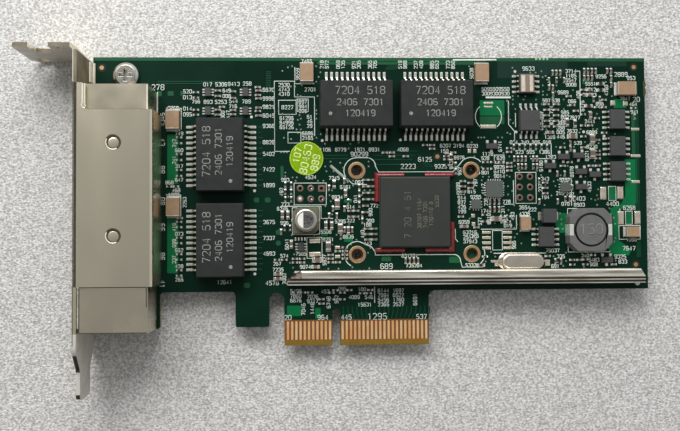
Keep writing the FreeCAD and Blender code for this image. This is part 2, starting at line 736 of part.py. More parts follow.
# --- controller --------------------------------------------------------------------------
def controller_balls():
    """Outer row of solder balls, all that shows under the edge of the package."""
    count = int(CONTROLLER_SIDE // BALL_PITCH) - 1
    reach = (count - 1) / 2 * BALL_PITCH
    balls = []
    for i in range(count):
        along = -reach + i * BALL_PITCH
        balls.append((along, -reach))
        balls.append((along, reach))
        if 0 < i < count - 1:
            balls.append((-reach, along))
            balls.append((reach, along))
    return [
        block(CONTROLLER_X + dx, CONTROLLER_Y + dy, BALL_SIDE, BALL_SIDE, TOP, BALL_HEIGHT)
        for dx, dy in balls
    ]


def controller_substrate():
    side = CONTROLLER_SIDE
    return block(CONTROLLER_X, CONTROLLER_Y, side, side, TOP + BALL_HEIGHT, SUBSTRATE_THICK)


def controller_mould():
    side = CONTROLLER_SIDE - 2 * MOULD_INSET
    z0 = TOP + BALL_HEIGHT + SUBSTRATE_THICK
    cap = block(CONTROLLER_X, CONTROLLER_Y, side, side, z0, MOULD_THICK)
    rim = [e for e in cap.Edges if e.BoundBox.ZMin > z0 + MOULD_THICK - 0.01]
    return cap.makeChamfer(0.15, rim)


def bead(x_side, y_side, along_x, along_y):
    """Bond bead round one corner of the controller; along_x and along_y are its run lengths."""
    half = CONTROLLER_SIDE / 2
    corner_x = CONTROLLER_X + x_side * (half + BEAD_WIDTH)
    corner_y = CONTROLLER_Y + y_side * (half + BEAD_WIDTH)
    runs = []
    if along_x:
        end = corner_x - x_side * along_x
        y_in = corner_y - y_side * BEAD_WIDTH
        runs.append(box(min(corner_x, end), max(corner_x, end), min(corner_y, y_in),
                        max(corner_y, y_in), TOP, TOP + BEAD_HEIGHT))
    if along_y:
        end = corner_y - y_side * along_y
        x_in = corner_x - x_side * BEAD_WIDTH
        runs.append(box(min(corner_x, x_in), max(corner_x, x_in), min(corner_y, end),
                        max(corner_y, end), TOP, TOP + BEAD_HEIGHT))
    solid = runs[0] if len(runs) == 1 else runs[0].fuse(runs[1]).removeSplitter()
    outer = []
    for edge in solid.Edges:
        b = edge.BoundBox
        on_top = b.ZMin > TOP + BEAD_HEIGHT - 0.01
        outside = abs(b.YMin - corner_y) < 0.01 and b.YLength < 0.01
        outside = outside or (abs(b.XMin - corner_x) < 0.01 and b.XLength < 0.01)
        if on_top and outside:
            outer.append(edge)
    return solid.makeChamfer(BEAD_WIDTH * 0.5, outer)


def corner_beads():
    run = BEAD_LENGTH
    return [bead(-1, 1, run, run), bead(1, 1, run, 0), bead(1, -1, run, run), bead(-1, -1, run, 0)]


# --- tall parts --------------------------------------------------------------------------
def stiffener_bar():
    high = BAR_LOW + BAR_WIDTH
    c = BAR_CHAMFER
    flange = plate(
        [
            (BAR_LEFT, BAR_LOW, 0),
            (BAR_RIGHT, BAR_LOW, 0),
            (BAR_RIGHT, high - c * 0.7, 0.4),
            (BAR_RIGHT - c, high, 0.4),
            (BAR_LEFT + c, high, 0.8),
            (BAR_LEFT, high - c, 0.8),
        ],
        TOP + BAR_HEIGHT - BAR_THICK,
        BAR_THICK,
    )
    leg = box(BAR_LEFT, BAR_RIGHT, BAR_LOW, BAR_LOW + BAR_THICK, TOP, TOP + BAR_HEIGHT)
    bar = flange.fuse(leg).removeSplitter()
    heel = []
    for edge in bar.Edges:
        b = edge.BoundBox
        if b.ZMin > TOP + BAR_HEIGHT - 0.01 and b.YMax < BAR_LOW + 0.01:
            heel.append(edge)
    return bar.makeFillet(BAR_THICK * 0.6, heel)


def inductor_ferrite():
    half = INDUCTOR_SIDE / 2
    c = INDUCTOR_CORNER
    corners = []
    for sx, sy in ((-1, -1), (1, -1), (1, 1), (-1, 1)):
        near = (INDUCTOR_X + sx * (half - c), INDUCTOR_Y + sy * half, 0)
        far = (INDUCTOR_X + sx * half, INDUCTOR_Y + sy * (half - c), 0)
        corners += [far, near] if sx == sy else [near, far]
    ring = plate(corners, TOP + 0.1, INDUCTOR_HEIGHT - 0.1)
    bore = rod(INDUCTOR_X, INDUCTOR_Y, TOP, TOP + INDUCTOR_HEIGHT + 1, INDUCTOR_BORE)
    seats = []
    for side in (-1, 1):
        x = INDUCTOR_X + side * (half - TERMINAL_REACH / 2)
        seats.append(block(x, INDUCTOR_Y, TERMINAL_REACH + 0.02, TERMINAL_WIDTH, TOP, INDUCTOR_HEIGHT + 1))
    return ring.cut(Part.makeCompound([bore] + seats))


def inductor_core():
    """Drum core: a waist under the flange that shows in the ring's bore."""
    z0 = TOP + 0.1
    z1 = TOP + INDUCTOR_HEIGHT
    upper = rod(INDUCTOR_X, INDUCTOR_Y, z1 - CORE_FLANGE, z1, CORE_DIAMETER)
    return upper.fuse(faceted_rod(INDUCTOR_X, INDUCTOR_Y, z0, z1 - CORE_FLANGE, CORE_WAIST, HOLE_SIDES))


def inductor_winding():
    z0 = TOP + WINDING_CLEARANCE
    z1 = TOP + INDUCTOR_HEIGHT - CORE_FLANGE - WINDING_CLEARANCE
    sides = 2 * HOLE_SIDES
    outer = faceted_rod(INDUCTOR_X, INDUCTOR_Y, z0, z1, CORE_DIAMETER - 0.4, sides)
    return outer.cut(faceted_rod(INDUCTOR_X, INDUCTOR_Y, z0 - 1, z1 + 1, CORE_WAIST + 0.1, HOLE_SIDES))


def inductor_terminals():
    clips = []
    for side in (-1, 1):
        x = INDUCTOR_X + side * (INDUCTOR_SIDE / 2 - TERMINAL_REACH / 2)
        clip = block(x, INDUCTOR_Y, TERMINAL_REACH, TERMINAL_WIDTH - 0.1, TOP, INDUCTOR_HEIGHT - 0.15)
        clips.append(clip.cut(rod(INDUCTOR_X, INDUCTOR_Y, TOP - 1, TOP + 9, INDUCTOR_BORE)))
    return clips


def electrolytic_can():
    z0 = TOP + CAN_BASE_HEIGHT
    z1 = TOP + CAN_HEIGHT
    radius = CAN_DIAMETER / 2
    points = [(0, z0), (radius, z0), (radius, z1 - CAN_EDGE), (radius - CAN_EDGE, z1), (0, z1)]
    wire = Part.makePolygon([vec(r, 0, z) for r, z in points + points[:1]])
    can = Part.Face(wire).revolve(vec(0, 0, 0), vec(0, 0, 1), 360)
    return can.translated(vec(CAN_X, CAN_Y))


def electrolytic_base():
    half = CAN_BASE / 2
    c = CAN_CHAMFER
    corners = [
        (CAN_X - half, CAN_Y - half, 0),
        (CAN_X + half - c, CAN_Y - half, 0),
        (CAN_X + half, CAN_Y - half + c, 0),
        (CAN_X + half, CAN_Y + half, 0),
        (CAN_X - half + c, CAN_Y + half, 0),
        (CAN_X - half, CAN_Y + half - c, 0),
    ]
    return plate(corners, TOP + 0.2, CAN_BASE_HEIGHT - 0.2)


def electrolytic_leads():
    reach = CAN_BASE / 2 + 0.6
    return [
        box(CAN_X + 1.0, CAN_X + reach, CAN_Y - 0.35, CAN_Y + 0.35, TOP, TOP + 0.2),
        box(CAN_X - reach, CAN_X - 1.0, CAN_Y - 0.35, CAN_Y + 0.35, TOP, TOP + 0.2),
    ]


def stadium(x, y, length, width, z0, height):
    end = width / 2 - 0.01
    corners = rect_corners(x - length / 2, x + length / 2, y - width / 2, y + width / 2, end)
    return plate(corners, z0, height)


def crystal_can():
    z0 = TOP + 0.3
    grow = 0.4
    flange = stadium(CRYSTAL_X, CRYSTAL_Y, CRYSTAL_LENGTH + 2 * grow, CRYSTAL_WIDTH + grow,
                     z0, CRYSTAL_FLANGE)
    can = stadium(CRYSTAL_X, CRYSTAL_Y, CRYSTAL_LENGTH, CRYSTAL_WIDTH, z0, CRYSTAL_HEIGHT - 0.3)
    rim = [e for e in can.Edges if e.BoundBox.ZMin > TOP + CRYSTAL_HEIGHT - 0.01]
    return can.makeChamfer(CRYSTAL_CHAMFER, rim).fuse(flange)


def crystal_leads():
    leads = []
    for side in (-1, 1):
        near = CRYSTAL_X + side * 2.4
        far = CRYSTAL_X + side * CRYSTAL_LEAD_REACH
        leads.append(box(min(near, far), max(near, far), CRYSTAL_Y - 0.3, CRYSTAL_Y + 0.3, TOP, TOP + 0.3))
    return leads


# --- small parts -------------------------------------------------------------------------
# Each row is x, y of the first chip, step x, step y, how many, and whether it stands along Y.
CHIP_SIZES = {
    "large_capacitors": (4.5, 3.2, 1.9),
    "wide_capacitors": (3.2, 2.4, 1.6),
    "medium_capacitors": (2.0, 1.25, 0.9),
    "small_capacitors": (1.6, 0.8, 0.8),
    "tiny_capacitors": (1.0, 0.5, 0.5),
    "small_resistors": (1.6, 0.8, 0.45),
    "tiny_resistors": (1.0, 0.5, 0.35),
}

CHIP_ROWS = {
    "large_capacitors": (
        (-38.6, 53.8, 0, 0, 1, True),
        (-38.5, 33.1, 0, 0, 1, True),
        (-6.75, 65.1, 0, 0, 1, True),
        (35.4, 65.1, 0, 0, 1, True),
        (70.6, 61.3, 0, 0, 1, False),
    ),
    "wide_capacitors": (
        (45.6, 28.8, 0, 0, 1, True),
        (71.6, 26.6, 0, 0, 1, False),
    ),
    "medium_capacitors": (
        (-1.8, 23.5, 0, 0, 1, True),
        (1.1, 27.8, 0, 0, 1, True),
        (0.4, 33.6, 0, 0, 1, True),
        (-4.4, 20.3, 0, 0, 1, False),
        (57.5, 49.8, 0, 0, 1, False),
        (62.3, 49.1, 0, -3.5, 2, True),
        (38.6, 29.9, 0, 0, 1, False),
    ),
    "small_capacitors": (
        (-2.35, 28.5, 1.4, 0, 2, True),
        (2.4, 36.2, 0, 0, 1, True),
        (3.0, 27.3, 0, 0, 1, True),
        (-12.7, 31.1, 1.3, 0, 2, True),
        (-13.8, 17.0, 0, -1.1, 2, False),
        (-10.6, 24.1, 0, 0, 1, True),
        (-4.9, 18.7, 0, 0, 1, False),
        (61.9, 54.9, 0, 0, 1, True),
        (52.0, 50.7, 0, 0, 1, False),
        (30.9, 28.1, 0, 0, 1, False),
    ),
    "tiny_capacitors": (
        (7.2, 39.4, 0, -1.55, 6, False),
        (8.5, 39.4, 0, -1.55, 4, False),
        (7.6, 27.7, 0, -1.3, 3, False),
        (9.2, 27.7, 0, -1.3, 3, False),
        (30.7, 39.0, 0, -1.25, 3, False),
        (32.6, 38.6, 0, -1.25, 2, False),
        (37.2, 34.0, 1.1, 0, 3, True),
        (37.2, 32.2, 1.1, 0, 3, True),
        (16.7, 20.0, 1.0, 0, 4, True),
        (60.3, 61.1, 1.6, 0, 2, False),
        (60.3, 59.9, 1.6, 0, 2, False),
        (51.3, 57.6, 0, -1.35, 5, False),
        (53.6, 57.6, 0, -1.35, 5, False),
        (50.7, 38.6, 0, -1.3, 3, False),
        (3.6, 32.0, 1.3, 0, 2, False),
        (3.6, 30.6, 1.3, 0, 2, False),
        (42.0, 24.9, 0, -1.3, 2, True),
        (52.9, 19.6, 1.4, 0, 2, True),
        (-28.0, 60.9, 0, -1.3, 2, False),
        (-28.0, 56.3, 0, -1.2, 2, False),
        (-24.4, 60.7, 0, -1.6, 2, False),
        (-24.4, 56.2, 0, -1.0, 2, False),
        (-18.3, 60.9, 0, -1.9, 2, False),
        (-18.3, 56.8, 0, -1.9, 2, False),
        (57.0, 46.8, 0, 1.4, 2, True),
    ),
    "small_resistors": (
        (61.6, 57.2, 0, 0, 1, False),
        (64.6, 62.6, 0, -1.6, 2, False),
        (27.9, 44.7, 0, 0, 1, True),
        (-0.3, 38.4, 0, 0, 1, True),
        (34.8, 18.8, 0, 0, 1, False),
        (58.2, 52.9, 0, 0, 1, True),
        (56.3, 53.2, 0, 0, 1, True),
    ),
    "tiny_resistors": (
        (-37.2, 49.7, 0, -1.4, 2, False),
        (-37.2, 45.7, 0, -1.4, 2, False),
        (-37.2, 41.9, 0, -1.4, 2, False),
        (-39.5, 38.0, 1.6, 0, 2, False),
        (-37.2, 29.6, 0, -1.3, 2, False),
        (-37.2, 25.8, 0, -1.3, 2, False),
        (-37.2, 21.9, 0, -1.3, 2, False),
        (-37.2, 18.1, 0, -1.3, 2, False),
        (-33.2, 60.5, 0, -1.3, 2, False),
        (-33.2, 56.3, 0, -1.2, 2, False),
        (-12.0, 38.3, 1.4, 0, 2, True),
        (-12.0, 36.6, 1.4, 0, 2, True),
        (-12.0, 34.8, 1.4, 0, 2, True),
        (-12.2, 28.0, 1.3, 0, 2, True),
        (-14.0, 20.4, 1.7, 0, 2, False),
        (26.8, 44.3, 0, -1.4, 2, False),
        (29.0, 42.9, 0, -1.5, 2, True),
        (36.2, 42.0, 1.9, 0, 2, False),
        (36.2, 43.6, 1.9, 0, 3, False),
        (43.2, 47.2, 1.35, 0, 7, True),
        (5.7, 37.7, 0, -1.4, 4, True),
        (6.4, 31.1, 0, -1.5, 2, True),
        (57.6, 57.4, 0, 0, 1, False),
        (62.9, 58.9, 1.5, 0, 2, True),
        (35.9, 30.9, 0, -1.6, 2, False),
        (41.5, 30.5, 0, -1.3, 2, False),
        (55.6, 34.6, 1.1, 0, 3, True),
        (72.9, 54.6, 0, 0, 1, True),
        (72.6, 56.7, 0, 0, 1, False),
        (60.2, 20.0, 0, -1.2, 2, False),
        (-9.6, 12.6, 1.7, 0, 3, False),
        (-1.1, 12.5, 2.6, 0, 2, False),
        (6.2, 12.3, 1.6, 0, 2, False),
        (-1.1, 10.9, 2.6, 0, 2, False),
    ),
}


def chips(kind):
    length, width, height = CHIP_SIZES[kind]
    solids = []
    for x, y, step_x, step_y, count, upright in CHIP_ROWS[kind]:
        size = (width, length) if upright else (length, width)
        for i in range(count):
            solids.append(block(x + i * step_x, y + i * step_y, size[0], size[1], TOP, height))
    return solids


TRANSISTOR_LENGTH = 2.9
TRANSISTOR_WIDTH = 1.4
TRANSISTOR_HEIGHT = 1.0
TRANSISTOR_SPAN = 2.5
TRANSISTOR_PLACES = (
    (55.2, 44.8), (58.9, 45.1), (51.9, 42.6), (59.4, 41.2), (62.8, 40.5), (59.4, 37.5),
    (37.7, 47.4), (65.4, 19.9),
)
ARRAY_LENGTH = 2.0
ARRAY_WIDTH = 1.3
ARRAY_SPAN = 2.3
ARRAY_HEIGHT = 0.8
ARRAY_PLACES = ((-30.3, 60.5), (-30.3, 56.0), (-21.4, 60.5), (-21.4, 56.0), (-8.3, 23.5))


def transistor_bodies():
    return [
        package_body(x, y, TRANSISTOR_LENGTH, TRANSISTOR_WIDTH, TRANSISTOR_HEIGHT, 0.12)
        for x, y in TRANSISTOR_PLACES
    ]


def transistor_leads():
    """Two leads above and one below each transistor."""
    leads = []
    near = TRANSISTOR_WIDTH / 2
    far = TRANSISTOR_SPAN / 2
    for x, y in TRANSISTOR_PLACES:
        for shift, side in ((0, -1), (-0.95, 1), (0.95, 1)):
            y0, y1 = sorted((y + side * (near - 0.15), y + side * far))
            leads.append(box(x + shift - 0.2, x + shift + 0.2, y0, y1, TOP, TOP + STANDOFF))
    return leads


def array_bodies():
    z0 = TOP + STANDOFF
    return [block(x, y, ARRAY_WIDTH, ARRAY_LENGTH, z0, ARRAY_HEIGHT) for x, y in ARRAY_PLACES]


def array_leads():
    leads = []
    near = ARRAY_WIDTH / 2 - 0.15
    far = ARRAY_SPAN / 2
    for x, y in ARRAY_PLACES:
        for shift in (-0.65, 0, 0.65):
            for side in (-1, 1):
                x0, x1 = sorted((x + side * near, x + side * far))
                leads.append(box(x0, x1, y + shift - 0.12, y + shift + 0.12, TOP, TOP + STANDOFF))
    return leads


FLAT_CHIPS = ((38.3, 37.1, 4.0, 0.9), (33.8, 33.4, 2.2, 0.8), (55.5, 37.5, 2.2, 0.8))
DIODE_PLACE = (51.3, 30.5)
DIODE_SIDE = 3.5
DIODE_HEIGHT = 2.2


def flat_chips():
    return [block(x, y, side, side, TOP, height) for x, y, side, height in FLAT_CHIPS]


def power_diode():
    x, y = DIODE_PLACE
    return package_body(x, y, DIODE_SIDE, DIODE_SIDE, DIODE_HEIGHT, 0.15)


def diode_tabs():
    x, y = DIODE_PLACE
    tabs = []
    for side in (-1, 1):
        near = x + side * (DIODE_SIDE / 2 - 0.3)
        far = x + side * (DIODE_SIDE / 2 + 0.7)
        tabs.append(box(min(near, far), max(near, far), y - 1.0, y + 1.0, TOP, TOP + STANDOFF))
    return tabs


def build():
    os.makedirs("parts", exist_ok=True)
    save("circuit_board", [circuit_board()])
    save("edge_contacts_component_side", edge_contacts(TOP))
    save("edge_contacts_solder_side", edge_contacts(-CONTACT_THICK))
    save("bracket", [bracket()])
    save("bracket_screw", [bracket_screw()])
    save("jack_shield", [jack_shield()])
    save("jack_housing", [jack_housing()])
    for number, y in enumerate(PORT_YS, 1):
        save("port_wires_%d" % number, port_wires(y))
    save("port_lights", [light_box(y, z0, 0) for y, z0 in light_places()])
    for number, place in enumerate(TRANSFORMERS, 1):
        save("lan_transformer_%d" % number, [transformer(*place)])
        save("lan_transformer_leads_%d" % number, transformer_leads(*place))
    save("controller_solder_balls", controller_balls())
    save("controller_substrate", [controller_substrate()])
    save("controller_mould_cap", [controller_mould()])
    save("controller_corner_beads", corner_beads())
    save("stiffener_bar", [stiffener_bar()])
    save("inductor_ferrite", [inductor_ferrite()])
    save("inductor_core", [inductor_core()])
    save("inductor_winding", [inductor_winding()])
    save("inductor_terminals", inductor_terminals())
    save("electrolytic_can", [electrolytic_can()])
    save("electrolytic_base", [electrolytic_base()])
    save("electrolytic_leads", electrolytic_leads())
    save("crystal_can", [crystal_can()])
    save("crystal_leads", crystal_leads())
    flash_leads = lead_rows(*FLASH_PLACE, FLASH_SIDE, FLASH_SPAN, SO8_LEADS,
                            TOP + FLASH_HEIGHT * 0.45, 0.42, True)
    save("flash_memory", [package_body(*FLASH_PLACE, FLASH_SIDE, FLASH_SIDE, FLASH_HEIGHT, 0.25)])
    save("flash_memory_leads", flash_leads)
    save("labelled_memory", [so8_body(*LABELLED_PLACE)])
    save("labelled_memory_leads", so8_leads(*LABELLED_PLACE))
    save("foil_label", [block(*LABELLED_PLACE, SO8_WIDTH - 2 * LABEL_MARGIN,
                              SO8_LENGTH - 2 * LABEL_MARGIN, TOP + SO8_HEIGHT, LABEL_THICK)])
    save("power_switches", [so8_body(*place) for place in SWITCH_PLACES])
    save("power_switch_leads", sum([so8_leads(*place) for place in SWITCH_PLACES], []))
    save("regulator", [so8_body(*REGULATOR_PLACE)])
    save("regulator_leads", so8_leads(*REGULATOR_PLACE))
    save("power_diode", [power_diode()])
    save("power_diode_tabs", diode_tabs())
    save("flat_chips", flat_chips())
    save("transistors", transistor_bodies())
    save("transistor_leads", transistor_leads())
    save("protection_arrays", array_bodies())
    save("protection_array_leads", array_leads())
    for kind in CHIP_ROWS:
        save(kind, chips(kind))
    save("inspection_sticker", [rod(STICKER_X, STICKER_Y, TOP, TOP + STICKER_THICK, STICKER_DIAMETER)])


build()
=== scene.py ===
"""Dresses a four-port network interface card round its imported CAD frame.

The frame is in metres: +X runs along the board away from the bracket, +Y from the slot to the
upper edge and +Z out of the component face.  Sizes in this file are in millimetres.
"""

from __future__ import annotations

import json
import logging
import math
from dataclasses import dataclass, field
from enum import Enum
from typing import Iterable, Iterator, Sequence

import bmesh
import bpy
from mathutils import Matrix, Vector

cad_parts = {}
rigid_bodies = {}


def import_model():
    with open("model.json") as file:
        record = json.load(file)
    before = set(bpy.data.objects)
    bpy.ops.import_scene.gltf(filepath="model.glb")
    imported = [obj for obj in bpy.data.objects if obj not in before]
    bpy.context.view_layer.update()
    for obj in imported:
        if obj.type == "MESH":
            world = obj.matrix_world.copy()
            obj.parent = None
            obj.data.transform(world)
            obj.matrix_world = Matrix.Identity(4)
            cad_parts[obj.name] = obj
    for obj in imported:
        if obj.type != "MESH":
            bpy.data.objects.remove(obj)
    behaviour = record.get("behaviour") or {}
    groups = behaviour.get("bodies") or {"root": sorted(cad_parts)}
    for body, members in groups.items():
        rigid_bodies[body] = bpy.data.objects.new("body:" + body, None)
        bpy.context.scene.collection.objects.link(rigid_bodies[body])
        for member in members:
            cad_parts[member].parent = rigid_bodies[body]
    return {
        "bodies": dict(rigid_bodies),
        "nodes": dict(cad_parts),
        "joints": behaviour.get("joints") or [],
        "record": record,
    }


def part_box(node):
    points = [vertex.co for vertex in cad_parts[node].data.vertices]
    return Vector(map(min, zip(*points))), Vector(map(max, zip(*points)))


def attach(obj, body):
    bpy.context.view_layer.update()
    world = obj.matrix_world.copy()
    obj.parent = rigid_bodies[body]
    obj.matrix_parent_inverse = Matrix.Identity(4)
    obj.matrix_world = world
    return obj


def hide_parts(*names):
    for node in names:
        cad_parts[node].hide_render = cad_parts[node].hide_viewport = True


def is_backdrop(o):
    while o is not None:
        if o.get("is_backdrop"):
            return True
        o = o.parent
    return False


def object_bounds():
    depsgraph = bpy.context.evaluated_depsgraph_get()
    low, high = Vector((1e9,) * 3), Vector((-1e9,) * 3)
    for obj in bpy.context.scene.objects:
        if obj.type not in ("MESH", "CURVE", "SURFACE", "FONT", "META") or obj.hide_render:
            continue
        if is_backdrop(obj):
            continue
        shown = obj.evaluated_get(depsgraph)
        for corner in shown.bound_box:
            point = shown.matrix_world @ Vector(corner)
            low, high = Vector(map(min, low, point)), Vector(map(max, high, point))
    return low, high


LOG = logging.getLogger("network_card")
MM = 0.001
BODY = "root"
SURFACE_IOR = 1.5
COAT_ROUGHNESS = 0.12
ROUGHNESS_DRIFT = 0.1
LEAST_ROUGHNESS = 0.03
# Length of one wave of Blender's wave texture at a scale of 1.
WAVE_LENGTH = 0.314
# A lathe's profile keeps this far from its axis, so that its end closes in a tiny ring.
AXIS_GAP = 0.001
# Ground of the board that print and small parts can take: x0, x1, y0 and y1.
MAIN_GROUND = (-41.8, 75.2, 13.2, 68.6)
TONGUE_GROUND = (-11.9, 21.8, 6.1, 13.9)
Point = tuple[float, float]
Triple = tuple[float, float, float]
Tree = bpy.types.NodeTree
Socket = bpy.types.NodeSocket
Mesh = bpy.types.Mesh
Object = bpy.types.Object


# --- nodes and finishes --------------------------------------------------------------------
def linear(colour: str) -> tuple[float, ...]:
    """Turns an sRGB hex colour into linear light.

    Args:
        colour: Six hex digits with a leading #.

    Returns:
        Linear red, green and blue, and an alpha of 1.
    """
    parts = [int(colour[i : i + 2], 16) / 255 for i in (1, 3, 5)]
    red, green, blue = (c / 12.92 if c <= 0.04045 else ((c + 0.055) / 1.055) ** 2.4 for c in parts)
    return (red, green, blue, 1.0)


def add_node(tree: Tree, kind: str, inputs: dict | None = None,
             **settings: object) -> bpy.types.Node:
    """Adds one node with its settings and links.

    Args:
        tree: Node tree that gets the node.
        kind: Blender's name of the node type.
        inputs: Value or source socket for each input, by socket name or index.
        **settings: Properties to set on the node itself.

    Returns:
        The new node.
    """
    node = tree.nodes.new(kind)
    for key, value in settings.items():
        setattr(node, key, value)
    for key, value in (inputs or {}).items():
        if isinstance(value, Socket):
            tree.links.new(value, node.inputs[key])
        else:
            node.inputs[key].default_value = value
    return node


def remap(tree: Tree, value: Socket, span: Point, target: Point = (0.0, 1.0)) -> Socket:
    """Turns a value that runs over one span into one that runs over the target's."""
    ends = {"From Min": span[0], "From Max": span[1], "To Min": target[0], "To Max": target[1]}
    return add_node(tree, "ShaderNodeMapRange", {"Value": value, **ends}).outputs["Result"]


def calculate(tree: Tree, operation: str, *values: Socket) -> Socket:
    """Adds a node that does one sum with the values and returns the answer."""
    node = add_node(tree, "ShaderNodeMath", dict(enumerate(values)), operation=operation)
    return node.outputs["Value"]


MIX_FACTOR, MIX_FIRST, MIX_SECOND, MIX_COLOUR = 0, 6, 7, 2


@dataclass(frozen=True)
class Finish:
    """A surface with mottled colour, a fine grain and drifting roughness."""

    name: str
    colour: str
    drift_colour: str
    roughness: float
    metallic: float = 0.0
    mottle_mm: float = 1.0
    mottle: float = 0.6
    grain_mm: float = 0.2
    grain_height: float = 0.004
    stretch: Triple = (1.0, 1.0, 1.0)
    coat: float = 0.0
    specular: float = 0.5

    def material(self) -> bpy.types.Material:
        """Returns this finish's material, which is built once."""
        found = bpy.data.materials.get(self.name)
        if found:
            return found
        made = bpy.data.materials.new(self.name)
        made.use_nodes = True
        tree = made.node_tree
        tree.nodes.clear()
        coords = add_node(tree, "ShaderNodeTexCoord").outputs["Object"]
        stretched = add_node(tree, "ShaderNodeMapping",
                             {"Vector": coords, "Scale": self.stretch}).outputs["Vector"]
        drift = self.noise(tree, stretched, self.mottle_mm, 3.0)
        grain = self.noise(tree, stretched, self.grain_mm, 2.0)
        smoothest = max(LEAST_ROUGHNESS, self.roughness - ROUGHNESS_DRIFT)
        roughest = min(1.0, self.roughness + ROUGHNESS_DRIFT)
        rough = remap(tree, drift, (0.3, 0.7), (smoothest, roughest))
        bump = add_node(tree, "ShaderNodeBump",
                        {"Height": self.height(tree, coords, grain),
                         "Distance": self.grain_height * MM}).outputs["Normal"]
        surface = add_node(tree, "ShaderNodeBsdfPrincipled",
                           {"Base Color": self.tint(tree, coords, drift),
                            "Metallic": self.metallic, "IOR": SURFACE_IOR,
                            "Specular IOR Level": self.specular, "Coat Weight": self.coat,
                            "Coat Roughness": COAT_ROUGHNESS, "Roughness": rough, "Normal": bump})
        add_node(tree, "ShaderNodeOutputMaterial", {"Surface": surface.outputs["BSDF"]})
        return made

    def noise(self, tree: Tree, coords: Socket, size_mm: float, detail: float) -> Socket:
        """Adds a noise whose patches are about size_mm across and returns its value."""
        node = add_node(tree, "ShaderNodeTexNoise",
                        {"Vector": coords, "Scale": 1 / (size_mm * MM), "Detail": detail})
        return node.outputs["Fac"]

    def mix(self, tree: Tree, factor: Socket, first: str | Socket, second: str | Socket) -> Socket:
        """Mixes two colours, each a hex string or a socket, and returns the result."""
        first, second = (linear(c) if isinstance(c, str) else c for c in (first, second))
        ends = {MIX_FACTOR: factor, MIX_FIRST: first, MIX_SECOND: second}
        return add_node(tree, "ShaderNodeMix", ends, data_type="RGBA").outputs[MIX_COLOUR]

    def upward(self, tree: Tree) -> Socket:
        """Returns how far the surface faces out of the component face, from -1 to 1."""
        normal = add_node(tree, "ShaderNodeNewGeometry").outputs["Normal"]
        return add_node(tree, "ShaderNodeSeparateXYZ", {"Vector": normal}).outputs["Z"]

    def tint(self, tree: Tree, coords: Socket, drift: Socket) -> Socket:
        """Returns the base colour."""
        share = remap(tree, drift, (0.35, 0.65), (0.0, self.mottle))
        return self.mix(tree, share, self.colour, self.drift_colour)

    def height(self, tree: Tree, coords: Socket, grain: Socket) -> Socket:
        """Returns the height that the bump follows."""
        return grain


@dataclass(frozen=True)
class BoardFinish(Finish):
    """Solder mask on both faces over woven glass, with the bare laminate on the sawn edges."""

    edge_colour: str = "#6d7a35"
    weave_mm: float = 0.9

    def tint(self, tree: Tree, coords: Socket, drift: Socket) -> Socket:
        """Returns the mask's green on the faces and the laminate's olive on the edges."""
        mask = super().tint(tree, coords, drift)
        flat = calculate(tree, "ABSOLUTE", self.upward(tree))
        return self.mix(tree, remap(tree, flat, (0.55, 0.6)), self.edge_colour, mask)

    def height(self, tree: Tree, coords: Socket, grain: Socket) -> Socket:
        """Returns the woven glass under the mask: crossed waves, one thread pitch apart."""
        inputs = {"Vector": coords, "Scale": WAVE_LENGTH / (self.weave_mm * MM)}
        waves = [add_node(tree, "ShaderNodeTexWave", inputs, bands_direction=way).outputs["Fac"]
                 for way in ("X", "Y")]
        return calculate(tree, "MULTIPLY", *waves)


@dataclass(frozen=True)
class TwoToneFinish(Finish):
    """A small part whose top is coated and whose sides show the ceramic under it."""

    side_colour: str = "#d8d6cf"

    def tint(self, tree: Tree, coords: Socket, drift: Socket) -> Socket:
        """Returns the coating on top and the bare ceramic elsewhere."""
        top = super().tint(tree, coords, drift)
        return self.mix(tree, remap(tree, self.upward(tree), (0.6, 0.8)), self.side_colour, top)


# Solder mask, screen printed over woven glass: dark bottle green, a little glossy, with the
# weave just showing where light grazes it.
SOLDER_MASK = BoardFinish(
    "solder_mask_on_glass_epoxy", "#07251a", "#062d1f", 0.34, mottle_mm=14.0, grain_mm=0.25,
    grain_height=0.006, specular=0.1
)
# The same mask over etched copper: a brighter, yellower green than over bare laminate.
MASK_ON_COPPER = Finish(
    "solder_mask_on_copper", "#047040", "#035a32", 0.34, mottle_mm=4.0, grain_mm=0.4, specular=0.2
)
# The same mask over narrow traces, only a shade brighter than the board.
MASK_ON_TRACE = Finish(
    "solder_mask_on_traces", "#0f3f2a", "#0d4c31", 0.38, mottle_mm=6.0, grain_mm=0.4, specular=0.14
)
# The mask over the wide planes near the edges: a duller green than over the small pours.
MASK_ON_PLANE = Finish(
    "solder_mask_on_planes", "#1f5a38", "#164a2e", 0.36, mottle_mm=5.0, grain_mm=0.4, specular=0.22
)
# The mask over the ground plane of the upper corner: greyer and bluer than elsewhere.
MASK_ON_GROUND = Finish(
    "solder_mask_on_ground_plane", "#17352b", "#132d26", 0.38, mottle_mm=5.0, grain_mm=0.4,
    specular=0.16
)
# Bare glass epoxy round the fiducials: dark and matt.
MASK_ON_BARE = Finish("bare_glass_epoxy_window", "#2a2413", "#231f12", 0.6, specular=0.3)
# Gold flash on the heatsink's lands: a tan, slightly dull metal.
LAND_COPPER = Finish(
    "flashed_copper_land", "#cbab84", "#9f7f5c", 0.36, metallic=0.7, mottle_mm=1.2
)
# Copper inside the heatsink's holes, dark from the oven.
HOLE_BROWN = Finish(
    "oxidised_copper_barrel", "#5a3c26", "#3a2617", 0.35, metallic=0.7, grain_height=0.006
)
# Copper lands of the headers, browned by flux.
HEADER_COPPER = Finish(
    "fluxed_copper_land", "#947a6e", "#5d4136", 0.4, metallic=0.6, mottle_mm=0.9,
    grain_height=0.006
)
